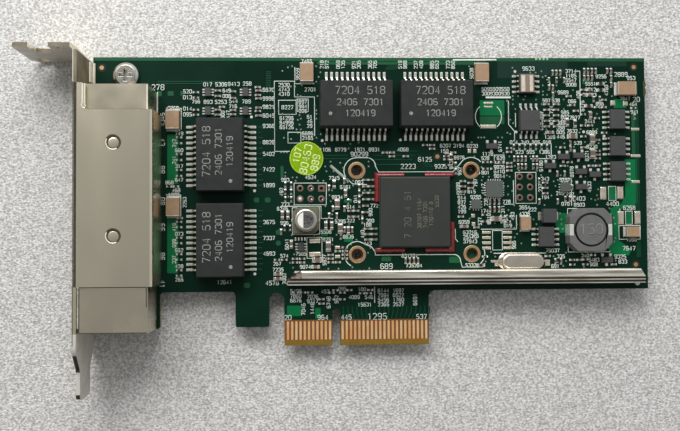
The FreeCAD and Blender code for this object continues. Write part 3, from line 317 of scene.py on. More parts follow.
# Epoxy ink, screen printed: matt off-white with slightly thin patches.
LEGEND_INK = Finish("white_epoxy_ink", "#dfe6dc", "#c2cfc3", 0.7, mottle_mm=0.8, grain_mm=0.08)
# The same ink laid thin, so that the mask greys it.
THIN_INK = Finish("thin_epoxy_ink", "#a9b0a6", "#8d978c", 0.7, mottle_mm=0.8, grain_mm=0.08)
# Torn glass cloth where the board was broken out of its panel: pale and ragged.
GLASS_FIBRE = Finish(
    "torn_glass_cloth", "#cfdcc6", "#9db394", 0.7, mottle_mm=0.5, mottle=1.0, grain_height=0.02
)
# Broken epoxy of the panel's stub: brown olive.
STUB_EPOXY = Finish(
    "broken_glass_epoxy", "#5a5a24", "#33401c", 0.7, mottle_mm=0.6, mottle=1.0, grain_height=0.02
)
# Hard gold flash on nickel: warm, even and mirror-like with faint wiping marks.
FINGER_GOLD = Finish(
    "hard_gold_plating", "#ffdca4", "#f2ab68", 0.26, metallic=0.5, mottle_mm=2.4, mottle=0.9,
    grain_mm=0.15, grain_height=0.002, stretch=(1.6, 0.4, 1.0)
)
# Bare glass epoxy between and below the gold: translucent amber, dull.
BARE_LAMINATE = Finish(
    "bare_glass_epoxy", "#7a4718", "#693b12", 0.6, mottle_mm=1.5, grain_mm=0.3, grain_height=0.01
)
# Ground bevel of the card edge: the same epoxy, paler and yellower where the glass is cut.
GROUND_BEVEL = Finish("ground_glass_epoxy", "#9e7d24", "#89691b", 0.7, grain_height=0.012)
# Tin-lead hot-air levelled pads and reflowed solder: bright, lumpy, slightly cloudy.
SOLDER = Finish(
    "reflowed_solder", "#f2f1e8", "#c8c9c2", 0.3, metallic=0.45, mottle_mm=0.7, grain_mm=0.3,
    grain_height=0.01
)
# Solder that set in a dome on the larger lands: smoother and more mirror-like.
DOMED_SOLDER = Finish(
    "domed_solder", "#f4ecd9", "#bdb197", 0.27, metallic=0.85, grain_mm=0.4, grain_height=0.02
)
# Bare ends of plated vias: small, tarnished solder caps.
VIA_TIN = Finish(
    "tarnished_via_tin", "#8c9c8c", "#50685a", 0.4, metallic=0.3, mottle_mm=2.0, grain_height=0.006
)
# Matt tin on stamped copper leads: brighter than steel, soft highlights.
TINNED_COPPER = Finish(
    "matt_tin_on_copper", "#f4f1e3", "#d3cfc0", 0.27, metallic=1.0, mottle_mm=0.9, grain_mm=0.12
)
# Fired and plated ends of the large capacitors: warm, dull and a little rough.
FIRED_END = Finish(
    "fired_plated_end", "#c4b9ad", "#a4998d", 0.5, metallic=0.35, mottle_mm=0.9, grain_mm=0.15,
    grain_height=0.008
)
# Nickel-plated steel sheet: warm grey, rolled, with a soft broad sheen and fine handling marks.
NICKEL_SHEET = Finish(
    "nickel_plated_steel_sheet", "#e8e0c8", "#d6cdb3", 0.24, metallic=1.0, mottle_mm=22.0,
    grain_mm=0.35, stretch=(1.0, 0.35, 1.0)
)
# Stamped nickel-silver shield of the jack: a touch yellower and smoother than the bracket.
SHIELD_METAL = Finish(
    "nickel_silver_shield", "#dfd6be", "#d2c8ae", 0.26, metallic=1.0, mottle_mm=12.0, grain_mm=0.3,
    grain_height=0.003
)
# Painted highlight: nickel made bright on the folds and edges, where they catch the light.
PAINTED_HIGHLIGHT = Finish(
    "painted_highlight_on_nickel", "#fbf4e2", "#e4dbc4", 0.3, metallic=0.3, mottle_mm=2.0,
    grain_height=0.003
)
# Sheared edges of the tongue, coloured a dark steel grey.
DARK_EDGE_STEEL = Finish(
    "dark_tongue_edge_steel", "#2b2925", "#4a463d", 0.5, metallic=0.4, mottle_mm=1.5, mottle=1.0,
    grain_height=0.01
)
# Nickel hazed by handling: greyer and duller than the rest of the sheet.
HAZED_NICKEL = Finish(
    "hazed_nickel", "#dcd8cf", "#c4bfb5", 0.5, metallic=0.35, mottle_mm=3.0, grain_mm=0.3,
    grain_height=0.006
)
# Painted shade: nickel darkened to brown on the upright's inner face and edges, which stand in the
# shade of the ear.
SHADED_NICKEL = Finish(
    "painted_shade_nickel", "#857b66", "#4f4737", 0.6, metallic=0.15, mottle_mm=4.0, grain_mm=0.3,
    grain_height=0.006
)
# Painted shade in the deep seams and grooves of the folded sheet: dark and dull where shade falls.
FOLD_SHADOW = Finish("painted_fold_shade", "#4c4638", "#3a352a", 0.6, mottle_mm=1.5, specular=0.2)
# Zinc-plated screw: cold grey, slightly worn on its crown.
ZINC_STEEL = Finish(
    "zinc_plated_steel", "#c6c4bc", "#8a8880", 0.24, metallic=1.0, mottle_mm=1.2,
    grain_height=0.006
)
# Glass-filled nylon of the jack: black with a satin moulded skin.
JACK_NYLON = Finish(
    "glass_filled_nylon", "#1b1b1c", "#242425", 0.55, mottle_mm=3.0, grain_height=0.01
)
# Gold-flashed phosphor bronze contact wire.
CONTACT_BRONZE = Finish(
    "gold_flashed_bronze", "#d7a55a", "#b98543", 0.25, metallic=1.0, grain_mm=0.1,
    grain_height=0.002
)
# Clear polycarbonate light guide: milky pale green, glossy.
LIGHT_GUIDE = Finish(
    "milky_polycarbonate", "#c9d2b4", "#b4c29a", 0.2, mottle_mm=1.5, grain_mm=0.3,
    grain_height=0.002, coat=0.4
)
# Transfer-moulded epoxy of the transformers: charcoal, matt, with sparse pale specks.
TRANSFORMER_EPOXY = Finish(
    "moulded_charcoal_epoxy", "#272a29", "#1f2221", 0.6, mottle_mm=2.0, grain_mm=0.22,
    grain_height=0.03, specular=0.3
)
# Transfer-moulded epoxy of the small chips: darker and finer.
CHIP_EPOXY = Finish(
    "moulded_black_epoxy", "#444444", "#383939", 0.55, mottle_mm=1.5, grain_mm=0.12,
    grain_height=0.012
)
# Sawn mould compound of the leadless chips: greenish grey.
LEADLESS_EPOXY = Finish(
    "sawn_mould_compound", "#535b54", "#474e48", 0.5, mottle_mm=1.2, grain_mm=0.12,
    grain_height=0.01
)
# Laser marking on epoxy: the scorched surface is a pale, dry grey.
LASER_MARK = Finish(
    "laser_marked_epoxy", "#9c9d97", "#81827d", 0.8, mottle_mm=0.4, grain_mm=0.08,
    grain_height=0.01
)
# Array package of the controller: greenish charcoal with a satin skin.
CONTROLLER_EPOXY = Finish(
    "controller_mould_compound", "#2e302c", "#282b28", 0.45, mottle_mm=5.0, grain_mm=0.15,
    grain_height=0.01
)
# Green organic substrate that shows as a line under the controller's cap.
SUBSTRATE = Finish(
    "organic_substrate", "#2f4a30", "#263e29", 0.5, mottle_mm=2.0, grain_height=0.006
)
# Cured red bond bead: dark wine red, glossy and lumpy.
BOND_BEAD = Finish(
    "cured_red_adhesive", "#84191f", "#5e1217", 0.3, mottle_mm=1.6, grain_mm=0.9,
    grain_height=0.08, coat=0.3
)
# Hot-tinned steel of the stiffener bar: bright, streaked along its length, with solder runs.
TINNED_BAR = Finish(
    "hot_tinned_steel", "#fffaec", "#a2998a", 0.24, metallic=0.8, mottle_mm=0.9, mottle=0.9,
    grain_mm=0.7, grain_height=0.04, stretch=(0.08, 1.0, 1.0)
)
# The bar's end, scuffed through the tin to the browned steel.
SCUFFED_TIN = Finish(
    "scuffed_tinned_steel", "#cbbfb0", "#43332b", 0.3, metallic=0.8, mottle_mm=0.8, mottle=1.0,
    grain_mm=0.4, grain_height=0.03
)
# Painted shade in the fold of the bar: the groove's floor made dark and dull.
GROOVE_SHADE = Finish(
    "painted_groove_shade", "#39342b", "#4a4438", 0.6, mottle_mm=1.5, grain_mm=0.3, grain_height=0.02
)
# Pressed ferrite: dark grey, dry and slightly sparkling.
FERRITE = Finish(
    "pressed_ferrite", "#6b6c69", "#5a5b58", 0.5, mottle_mm=1.6, grain_mm=0.15, grain_height=0.02
)
# Black varnish in the gap round the core, also standing in as painted shade of the gap.
VARNISH_SHADOW = Finish(
    "black_varnish_and_gap_shade", "#0c0c0c", "#161615", 0.5, mottle_mm=0.8, grain_mm=0.1,
    grain_height=0.006, specular=0.2
)
# Enamelled copper winding: dark copper red, glossy turns.
ENAMELLED_COPPER = Finish(
    "enamelled_copper_wire", "#7a3b1d", "#57280f", 0.3, metallic=0.6, mottle_mm=0.8, grain_mm=0.4,
    grain_height=0.08, stretch=(0.3, 0.3, 2.5), coat=0.5
)
# Drawn aluminium can: pale, smooth and cold.
CAN_ALUMINIUM = Finish(
    "drawn_aluminium", "#d9d6cd", "#bdbab1", 0.24, metallic=1.0, mottle_mm=2.0, grain_mm=0.1,
    grain_height=0.002
)
# Moulded polyester base of the can: khaki grey.
CAN_BASE_FINISH = Finish(
    "moulded_base_polyester", "#6a6853", "#4e4d3c", 0.5, mottle_mm=1.5, grain_mm=0.15,
    grain_height=0.008
)
# Cold-drawn nickel-silver crystal can: bright with a soft cloud.
CRYSTAL_CASE = Finish(
    "drawn_nickel_silver", "#eae0d2", "#d8cdbc", 0.3, metallic=1.0, mottle_mm=2.2
)
# Metallised polyester label: silver with vertical creases.
FOIL = Finish(
    "metallised_film", "#a8998a", "#85786b", 0.3, metallic=0.5, mottle=0.8, grain_mm=0.5,
    grain_height=0.03, stretch=(1.5, 0.3, 1.0)
)
# Painted highlight: bright silver strips on the film's creases, where they catch the light.
FOIL_HIGHLIGHT = Finish(
    "painted_highlight_film", "#e2d8c6", "#b7a890", 0.3, metallic=0.15, mottle_mm=0.8,
    grain_mm=0.4, grain_height=0.02
)
# Off-white, glossy crescent on the left of the can's top.
CAN_CRESCENT_WHITE = Finish(
    "off_white_can_crescent", "#f4f2ea", "#dedbd0", 0.3, grain_mm=0.1, grain_height=0.003, coat=0.3
)
# Grey over the greater part of the can's top, darker than the crescent.
CAN_TOP_GREY = Finish(
    "grey_can_top", "#686762", "#585753", 0.45, metallic=0.4, mottle_mm=0.9, grain_mm=0.1,
    grain_height=0.003
)
# Dark ink of the can's numbers.
CAN_NUMBER_INK = Finish(
    "dark_can_ink", "#24282d", "#1d2025", 0.5, mottle_mm=0.6, grain_mm=0.1, grain_height=0.003
)
# Thin wash of laser marking on the controller: olive grey, hardly paler than the epoxy.
FAINT_MARK = Finish(
    "faint_laser_mark", "#646658", "#54564b", 0.75, mottle_mm=0.8, grain_mm=0.1, grain_height=0.008
)
# Engraved number on the ferrite core: dry grey.
FERRITE_MARK = Finish(
    "engraved_ferrite", "#787875", "#787875", 0.8, mottle_mm=0.6, grain_mm=0.1, grain_height=0.008
)
# Barium titanate ceramic of the small capacitors: fired grey brown, dull.
BROWN_CERAMIC = Finish(
    "fired_brown_ceramic", "#6f6057", "#574b44", 0.5, mottle_mm=0.9, grain_mm=0.08
)
# Barium titanate ceramic of the large capacitors: fired tan, dull.
TAN_CERAMIC = Finish("fired_tan_ceramic", "#a7896d", "#957959", 0.5, grain_mm=0.08)
# Thick-film resistor: black glass film on top, white alumina at the sides.
RESISTOR_FILM = TwoToneFinish(
    "black_glaze_on_alumina", "#202122", "#2b2c2c", 0.35, mottle_mm=0.5, grain_mm=0.08
)
# Day-glow paper sticker: flat yellow green.
STICKER_PAPER = Finish(
    "coated_green_paper", "#88b000", "#739800", 0.6, mottle_mm=1.4, grain_mm=0.12,
    grain_height=0.006, specular=0.12
)
# White marks on the sticker.
STICKER_INK = Finish(
    "white_marking_ink", "#e2f0a4", "#cbe080", 0.7, mottle_mm=0.8, grain_mm=0.1, grain_height=0.003
)
# Painted highlight: a pale ring just inside the sticker's die-cut rim, where the edge catches the
# light.
STICKER_RIM_HIGHLIGHT = Finish(
    "painted_rim_highlight", "#c2df60", "#9cc424", 0.7, mottle_mm=1.2, mottle=1.0, grain_mm=0.1,
    grain_height=0.003, specular=0.2
)
# Closed-cell foam sheet that the card lies on: pale grey with fine cells.
FOAM_FLOOR = Finish(
    "pale_foam_sheet", "#adaba7", "#edebe8", 0.4, mottle_mm=0.55, mottle=1.0, grain_mm=0.42,
    grain_height=0.3
)


# --- measures and meshes -------------------------------------------------------------------
@dataclass(frozen=True)
class Box:
    """Axis-aligned box in millimetres."""

    low: Vector
    high: Vector

    @property
    def centre(self) -> Vector:
        """Middle of the box."""
        return (self.low + self.high) / 2

    @property
    def size(self) -> Vector:
        """Length of each side."""
        return self.high - self.low


class CardFrame:
    """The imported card: its nodes, their boxes and their loose solids, in millimetres."""

    def __init__(self) -> None:
        """Loads the frame and notes the board's two faces."""
        self.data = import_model()
        self.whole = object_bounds()
        self.board = self.box("circuit_board")
        self.top, self.under = self.board.high.z, self.board.low.z

    def box(self, node: str) -> Box:
        """Box of one CAD node."""
        low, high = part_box(node)
        return Box(low / MM, high / MM)

    def node(self, name: str) -> Object:
        """One CAD node's object."""
        return self.data["nodes"][name]

    def merged(self, name: str) -> bmesh.types.BMesh:
        """Copy of a node's mesh with its doubles merged and flat faces joined, in millimetres."""
        work = bmesh.new()
        work.from_mesh(self.node(name).data)
        bmesh.ops.scale(work, vec=(1 / MM,) * 3, verts=work.verts)
        bmesh.ops.remove_doubles(work, verts=work.verts, dist=1e-4)
        bmesh.ops.dissolve_limit(work, angle_limit=math.radians(0.5), verts=work.verts,
                                 edges=work.edges)
        return work

    def solids(self, name: str) -> list[Box]:
        """Boxes of a node's separate solids, in order of X and then Y."""
        work = self.merged(name)
        left = set(work.verts)
        boxes = []
        while left:
            queue = [left.pop()]
            group = list(queue)
            while queue:
                for edge in queue.pop().link_edges:
                    for vert in edge.verts:
                        if vert in left:
                            left.remove(vert)
                            queue.append(vert)
                            group.append(vert)
            corners = [Vector([f(v.co[i] for v in group) for i in range(3)]) for f in (min, max)]
            boxes.append(Box(*corners))
        work.free()
        return sorted(boxes, key=lambda b: (round(b.centre.x, 3), round(b.centre.y, 3)))


class Sketch:
    """Collects closed shells, in millimetres, for one mesh."""

    def __init__(self, start: bmesh.types.BMesh | None = None) -> None:
        """Starts empty, or from a mesh in millimetres."""
        self.bm = start or bmesh.new()

    def loft(self, rings: Sequence[Sequence[Vector]], closed: bool = False) -> None:
        """Joins rings of points into a shell.

        Args:
            rings: Rings with the same number of points.
            closed: Whether the last ring meets the first; otherwise both ends get a cap.
        """
        rows = [[self.bm.verts.new(p) for p in ring] for ring in rings]
        count = len(rows[0])
        faces = []
        pairs = list(zip(rows, rows[1:])) + ([(rows[-1], rows[0])] if closed else [])
        for near, far in pairs:
            for i in range(count):
                j = (i + 1) % count
                faces.append(self.bm.faces.new((near[i], near[j], far[j], far[i])))
        if not closed:
            faces.append(self.bm.faces.new(rows[0][::-1]))
            faces.append(self.bm.faces.new(rows[-1]))
        bmesh.ops.recalc_face_normals(self.bm, faces=faces)

    def stack(self, levels: Iterable[tuple[float, Sequence[Point]]]) -> None:
        """Joins flat outlines, each given with its height, into a shell."""
        self.loft([[Vector((x, y, z)) for x, y in outline] for z, outline in levels])

    def prism(self, outline: Sequence[Point], z0: float, z1: float) -> None:
        """Stands a flat outline up from z0 to z1."""
        self.stack([(z0, outline), (z1, outline)])

    def block(self, low: Sequence[float], high: Sequence[float]) -> None:
        """Adds a box between two corners."""
        outline = [(low[0], low[1]), (high[0], low[1]), (high[0], high[1]), (low[0], high[1])]
        self.prism(outline, low[2], high[2])

    def lathe(self, profile: Sequence[Point], centre: Point = (0, 0), sides: int = 24) -> None:
        """Turns a closed profile of (radius, z) points round an axis along Z."""
        turns = [2 * math.pi * i / sides for i in range(sides)]
        rings = [[Vector((centre[0] + r * math.cos(a), centre[1] + r * math.sin(a), z))
                  for r, z in profile] for a in turns]
        self.loft(rings, closed=True)
        bmesh.ops.remove_doubles(self.bm, verts=self.bm.verts, dist=1e-5)

    def strip(self, path: Sequence[Point], thickness: float, width: float) -> None:
        """Sweeps a flat strip, width along Y, along a path of (x, z) points."""
        half = width / 2
        section = ((1, -half), (1, half), (-1, half), (-1, -half))
        rings = []
        for i, (x, z) in enumerate(path):
            back = Vector(path[max(i - 1, 0)])
            ahead = Vector(path[min(i + 1, len(path) - 1)])
            along = (ahead - back).normalized()
            off = Vector((-along.y, along.x)) * thickness / 2
            rings.append([Vector((x + s * off.x, y, z + s * off.y)) for s, y in section])
        self.loft(rings)

    def soften(self, radius: float, segments: int = 2, degrees: float = 30) -> None:
        """Rounds every edge that turns by more than the given angle."""
        limit = math.radians(degrees)
        sharp = [edge for edge in self.bm.edges
                 if len(edge.link_faces) == 2 and edge.calc_face_angle() > limit]
        bmesh.ops.bevel(self.bm, geom=sharp, offset=radius, segments=segments, profile=0.5,
                        affect="EDGES", clamp_overlap=True)

    def mesh(self, name: str, smooth_degrees: float = 35) -> Mesh:
        """Closes the sketch.

        Args:
            name: Name of the mesh.
            smooth_degrees: Edges that turn by less than this are shaded smooth.

        Returns:
            The mesh, in metres.
        """
        made = bpy.data.meshes.new(name)
        bmesh.ops.scale(self.bm, vec=(MM,) * 3, verts=self.bm.verts)
        self.bm.to_mesh(made)
        self.bm.free()
        made.polygons.foreach_set("use_smooth", [True] * len(made.polygons))
        made.normals_split_custom_set(self.weighted_normals(made, math.radians(smooth_degrees)))
        return made

    def piece(self, name: str, finish: Finish, slot: str, stands_for: Sequence[str] = (),
              smooth_degrees: float = 35) -> Object:
        """Closes the sketch and puts it on the card, as add_piece does with a mesh."""
        return add_piece(name, self.mesh(name, smooth_degrees), finish, slot, stands_for)

    def weighted_normals(self, mesh: Mesh, limit: float) -> list[Vector]:
        """Corner normals that keep broad faces flat and let narrow rounded edges turn.

        Args:
            mesh: The mesh.
            limit: Largest turn, in radians, between faces that are shaded as one surface.

        Returns:
            One normal for each face corner.
        """
        around = [[] for _ in mesh.vertices]
        for face in mesh.polygons:
            for vertex in face.vertices:
                around[vertex].append(face)
        normals = []
        for face in mesh.polygons:
            for vertex in face.vertices:
                total = Vector()
                for other in around[vertex]:
                    if other.normal.dot(face.normal) > math.cos(limit):
                        total += other.normal * other.area
                normals.append(total.normalized() if total.length else face.normal)
        return normals


def rounded_path(corners: Sequence[Point], radius: float, steps: int = 4) -> list[Point]:
    """Rounds the inner corners of an open path.

    Args:
        corners: The path's corners.
        radius: How far from each corner its curve starts.
        steps: How many pieces each curve has.

    Returns:
        The points of the rounded path.
    """
    path = [tuple(corners[0])]
    for before, corner, after in zip(corners, corners[1:], corners[2:]):
        here = Vector(corner)
        start = here + (Vector(before) - here).normalized() * radius
        end = here + (Vector(after) - here).normalized() * radius
        for i in range(steps + 1):
            t = i / steps
            point = start * (1 - t) ** 2 + here * 2 * t * (1 - t) + end * t**2
            path.append((point.x, point.y))
    path.append(tuple(corners[-1]))
    return path


def circle(x: float, y: float, radius: float, sides: int = 24) -> list[Point]:
    """Points of a circle, the first not repeated."""
    turns = [2 * math.pi * i / sides for i in range(sides)]
    return [(x + radius * math.cos(a), y + radius * math.sin(a)) for a in turns]


def arc(x: float, y: float, radius: float, start: int, end: int, step: int = 12) -> list[Point]:
    """Points of an arc between two angles in degrees, about one step apart."""
    steps = max(3, abs(end - start) // step)
    turns = [math.radians(start + (end - start) * i / steps) for i in range(steps + 1)]
    return [(x + radius * math.cos(a), y + radius * math.sin(a)) for a in turns]


def draws(value: int, factor: int, step: int, limit: int) -> Iterator[int]:
    """Yields whole numbers below the limit that look random but never change."""
    while True:
        value = (value * factor + step) % limit
        yield value


def rounded_rectangle(x0: float, x1: float, y0: float, y1: float, radius: float,
                      steps: int = 4) -> list[Point]:
    """Points of a rectangle with round corners."""
    points = []
    quarter = math.pi / 2
    centres = ((x1 - radius, y1 - radius), (x0 + radius, y1 - radius))
    centres += ((x0 + radius, y0 + radius), (x1 - radius, y0 + radius))
    for i, (cx, cy) in enumerate(centres):
        for j in range(steps + 1):
            angle = quarter * (i + j / steps)
            points.append((cx + radius * math.cos(angle), cy + radius * math.sin(angle)))
    return points


def centred_rectangle(x: float, y: float, length: float, width: float, radius: float,
                      steps: int = 4) -> list[Point]:
    """Points of a rectangle with round corners, given by its middle and its sides."""
    return rounded_rectangle(x - length / 2, x + length / 2, y - width / 2, y + width / 2, radius,
                             steps)


def add_piece(name: str, mesh: Mesh, finish: Finish, slot: str,
              stands_for: Sequence[str] = ()) -> Object:
    """Puts a finished mesh on the card.

    Args:
        name: The piece's name.
        mesh: Its mesh, in metres and in place.
        finish: Its finish.
        slot: The record's material slot; not used.
        stands_for: CAD nodes that it replaces.

    Returns:
        The piece.
    """
    piece = bpy.data.objects.new(name, mesh)
    bpy.context.scene.collection.objects.link(piece)
    mesh.materials.clear()
    mesh.materials.append(finish.material())
    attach(piece, BODY)
    if stands_for:
        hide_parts(*stands_for)
    LOG.info("%s: %d faces", name, len(mesh.polygons))
    return piece


# --- node trees that repeat shapes ---------------------------------------------------------
class RepeatTree:
    """A Geometry Nodes tree with named inputs, run once on a scratch object."""

    name = ""
    inputs: dict[str, str] = {}

    def tree(self) -> Tree:
        """Returns the tree, which is built once."""
        found = bpy.data.node_groups.get(self.name)
        if found:
            return found
        made = bpy.data.node_groups.new(self.name, "GeometryNodeTree")
        made.interface.new_socket("Geometry", in_out="INPUT", socket_type="NodeSocketGeometry")
        for label, kind in self.inputs.items():
            made.interface.new_socket(label, in_out="INPUT", socket_type=kind)
        made.interface.new_socket("Geometry", in_out="OUTPUT", socket_type="NodeSocketGeometry")
        given = add_node(made, "NodeGroupInput").outputs
        shape = self.shape(made, given)
        real = add_node(made, "GeometryNodeRealizeInstances", {"Geometry": shape})
        dressed = add_node(made, "GeometryNodeSetMaterial",
                           {"Geometry": real.outputs["Geometry"], "Material": given["Material"]})
        add_node(made, "NodeGroupOutput", {"Geometry": dressed.outputs["Geometry"]})
        return made

    def shape(self, tree: Tree, given: bpy.types.NodeOutputs) -> Socket:
        """Adds the nodes that make the shape and returns its geometry."""
        raise NotImplementedError

    def run(self, name: str, source: Mesh, values: dict[str, object]) -> Mesh:
        """Runs the tree on a mesh.

        Args:
            name: Name of the result.
            source: Mesh that the tree starts from, in metres.
            values: Value of each named input.

        Returns:
            A plain mesh.
        """
        scratch = bpy.data.objects.new("scratch", source)
        bpy.context.scene.collection.objects.link(scratch)
        modifier = scratch.modifiers.new("repeat", "NODES")
        modifier.node_group = self.tree()
        for item in modifier.node_group.interface.items_tree:
            if item.in_out == "INPUT" and item.name in values:
                modifier[item.identifier] = values[item.name]
        graph = bpy.context.evaluated_depsgraph_get()
        made = bpy.data.meshes.new_from_object(scratch.evaluated_get(graph))
        made.name = name
        scratch.modifiers.clear()
        bpy.data.objects.remove(scratch)
        return made


class RibbonTree(RepeatTree):
    """Lays a flat ribbon along every path of edges."""

    name = "ribbon_along_paths"
    inputs = {"Width": "NodeSocketFloat", "Thickness": "NodeSocketFloat",
              "Material": "NodeSocketMaterial"}

    def shape(self, tree: Tree, given: bpy.types.NodeOutputs) -> Socket:
        """Adds the curve, its upright normals and the swept section."""
        curve = add_node(tree, "GeometryNodeMeshToCurve", {"Mesh": given["Geometry"]})
        upright = add_node(tree, "GeometryNodeSetCurveNormal", {"Curve": curve.outputs["Curve"]},
                           mode="Z_UP")
        section = add_node(tree, "GeometryNodeCurvePrimitiveQuadrilateral",
                           {"Width": given["Width"], "Height": given["Thickness"]})
        swept = add_node(tree, "GeometryNodeCurveToMesh",
                         {"Curve": upright.outputs["Curve"], "Fill Caps": True,
                          "Profile Curve": section.outputs["Curve"]})
        return swept.outputs["Mesh"]


class PlaceTree(RepeatTree):
    """Puts one shape on every point, turned by the point's own angle."""

    name = "shape_on_points"
    inputs = {"Shape": "NodeSocketObject", "Material": "NodeSocketMaterial"}

    def shape(self, tree: Tree, given: bpy.types.NodeOutputs) -> Socket:
        """Adds the instances."""
        shape = add_node(tree, "GeometryNodeObjectInfo", {"Object": given["Shape"]})
        turn = add_node(tree, "GeometryNodeInputNamedAttribute", {"Name": "turn"},
                        data_type="FLOAT")
        angles = add_node(tree, "ShaderNodeCombineXYZ", {"Z": turn.outputs["Attribute"]})
        points = add_node(tree, "GeometryNodeInstanceOnPoints",
                          {"Points": given["Geometry"], "Instance": shape.outputs["Geometry"],
                           "Rotation": angles.outputs["Vector"]})
        return points.outputs["Instances"]


@dataclass(frozen=True)
class Place:
    """Where a repeated shape stands and how far it is turned, in degrees."""

    x: float
    y: float
    z: float
    turn: float = 0.0


def lay_ribbons(name: str, paths: Iterable[Sequence[Point]], z: float, width: float,
                finish: Finish, slot: str, thickness: float = 0.03) -> Object:
    """Lays flat ribbons along paths at one level.

    Args:
        name: Name of the piece.
        paths: Open paths of (x, y) points; a closed one repeats its first point.
        z: Level of the ribbons' middle.
        width: Their width.
        finish: Their finish.
        slot: The record's material slot.
        thickness: Their thickness.

    Returns:
        The piece.
    """
    verts, edges = [], []
    for path in paths:
        first = len(verts)
        loop = math.dist(path[0], path[-1]) < 1e-6
        points = path[:-1] if loop else path
        verts += [(x * MM, y * MM, z * MM) for x, y in points]
        edges += [(first + i, first + i + 1) for i in range(len(points) - 1)]
        if loop:
            edges.append((first + len(points) - 1, first))
    source = bpy.data.meshes.new(name + "_paths")
    source.from_pydata(verts, edges, [])
    values = {"Width": width * MM, "Thickness": thickness * MM, "Material": finish.material()}
    return add_piece(name, RibbonTree().run(name, source, values), finish, slot)


def put_on_places(name: str, shape: Sketch, places: Sequence[Place], finish: Finish, slot: str,
                  stands_for: Sequence[str] = ()) -> Object:
    """Repeats a shape on a list of places.

    Args:
        name: Name of the piece.
        shape: One copy, round its own origin.
        places: Where the copies stand, in millimetres.
        finish: Their finish.
        slot: The record's material slot.
        stands_for: CAD nodes that the piece replaces.

    Returns:
        The piece.
    """
    copy = shape.mesh(name)
    source = bpy.data.meshes.new(name + "_points")
    source.from_pydata([(p.x * MM, p.y * MM, p.z * MM) for p in places], [], [])
    turn = source.attributes.new("turn", "FLOAT", "POINT")
    turn.data.foreach_set("value", [math.radians(p.turn) for p in places])
    pattern = bpy.data.objects.new("pattern", copy)
    bpy.context.scene.collection.objects.link(pattern)
    values = {"Shape": pattern, "Material": finish.material()}
    made = PlaceTree().run(name, source, values)
    bpy.data.objects.remove(pattern)
    return add_piece(name, made, finish, slot, stands_for)


@dataclass(frozen=True)
class Scatter:
    """A grid of points that drawn numbers shift a little; turns is how many shifts there are."""

    start: Point
    counts: tuple[int, int]
    pitch: Point
    shift: Point
    turns: tuple[int, int]
    seed: tuple[int, int, int, int]

    def points(self) -> Iterator[tuple[float, float, int]]:
        """Yields the X, the Y and the drawn number of each point, column after column."""
        draw = draws(*self.seed)
        for i in range(self.counts[0]):
            for j in range(self.counts[1]):
                drawn = next(draw)
                x, y = (self.start[k] + n * self.pitch[k] + self.shift[k] * (drawn % self.turns[k])
                        for k, n in enumerate((i, j)))
                yield x, y, drawn


UPPER_VIAS = Scatter((-16.6, 18.2), (90, 43), (1.012, 1.15), (0.3, 0.3), (3, 2), (5, 31, 11, 1013))
LOWER_VIAS = Scatter((-36.5, 19.0), (46, 20), (2.3, 2.25), (0.5, 0.4), (3, 4), (7, 37, 17, 1009))


def place_vias(name: str, places: Sequence[Place], profile: Sequence[Point]) -> None:
    """Puts a small dome of tin, given by its (radius, z) points, on each place."""
    dome = Sketch()
    dome.stack((z, circle(0, 0, radius, 8)) for radius, z in profile)
    put_on_places(name, dome, places, VIA_TIN, "tinned_lead")


# --- printed numbers -----------------------------------------------------------------------
STROKES: dict[str, list[list[Point]]] = {
    "0": [[(0.15, 0), (0.45, 0), (0.6, 0.15), (0.6, 0.85), (0.45, 1), (0.15, 1), (0, 0.85),
           (0, 0.15), (0.15, 0)]],
    "1": [[(0.12, 0.8), (0.32, 1), (0.32, 0)]],
    "2": [[(0, 0.85), (0.15, 1), (0.45, 1), (0.6, 0.85), (0.6, 0.6), (0, 0), (0.6, 0)]],
    "3": [[(0, 0.88), (0.15, 1), (0.45, 1), (0.6, 0.85), (0.6, 0.66), (0.45, 0.52), (0.6, 0.38),
           (0.6, 0.15), (0.45, 0), (0.15, 0), (0, 0.12)]],
    "4": [[(0.45, 0), (0.45, 1), (0, 0.3), (0.6, 0.3)]],
    "5": [[(0.58, 1), (0.05, 1), (0, 0.55), (0.4, 0.6), (0.6, 0.42), (0.6, 0.15), (0.45, 0),
           (0.12, 0), (0, 0.12)]],
    "6": [[(0.55, 0.9), (0.42, 1), (0.15, 1), (0, 0.82), (0, 0.15), (0.15, 0), (0.45, 0),
           (0.6, 0.15), (0.6, 0.4), (0.45, 0.55), (0.1, 0.52), (0, 0.42)]],
    "7": [[(0, 1), (0.6, 1), (0.22, 0)]],
    "8": [[(0.15, 0.53), (0, 0.68), (0, 0.86), (0.15, 1), (0.45, 1), (0.6, 0.86), (0.6, 0.68),
           (0.45, 0.53), (0.15, 0.53)],
          [(0.15, 0.5), (0, 0.36), (0, 0.15), (0.15, 0), (0.45, 0), (0.6, 0.15), (0.6, 0.36),
           (0.45, 0.5)]],
    "9": [[(0.05, 0.1), (0.18, 0), (0.45, 0), (0.6, 0.18), (0.6, 0.85), (0.45, 1), (0.15, 1),
           (0, 0.85), (0, 0.6), (0.15, 0.45), (0.5, 0.48), (0.6, 0.58)]],
    " ": [],
}
GLYPH_ADVANCE = 0.86


class Turn(Enum):
    """Which way a printed number reads, in degrees from +X."""

    ALONG = 0
    UP = 90
    DOWN = 270


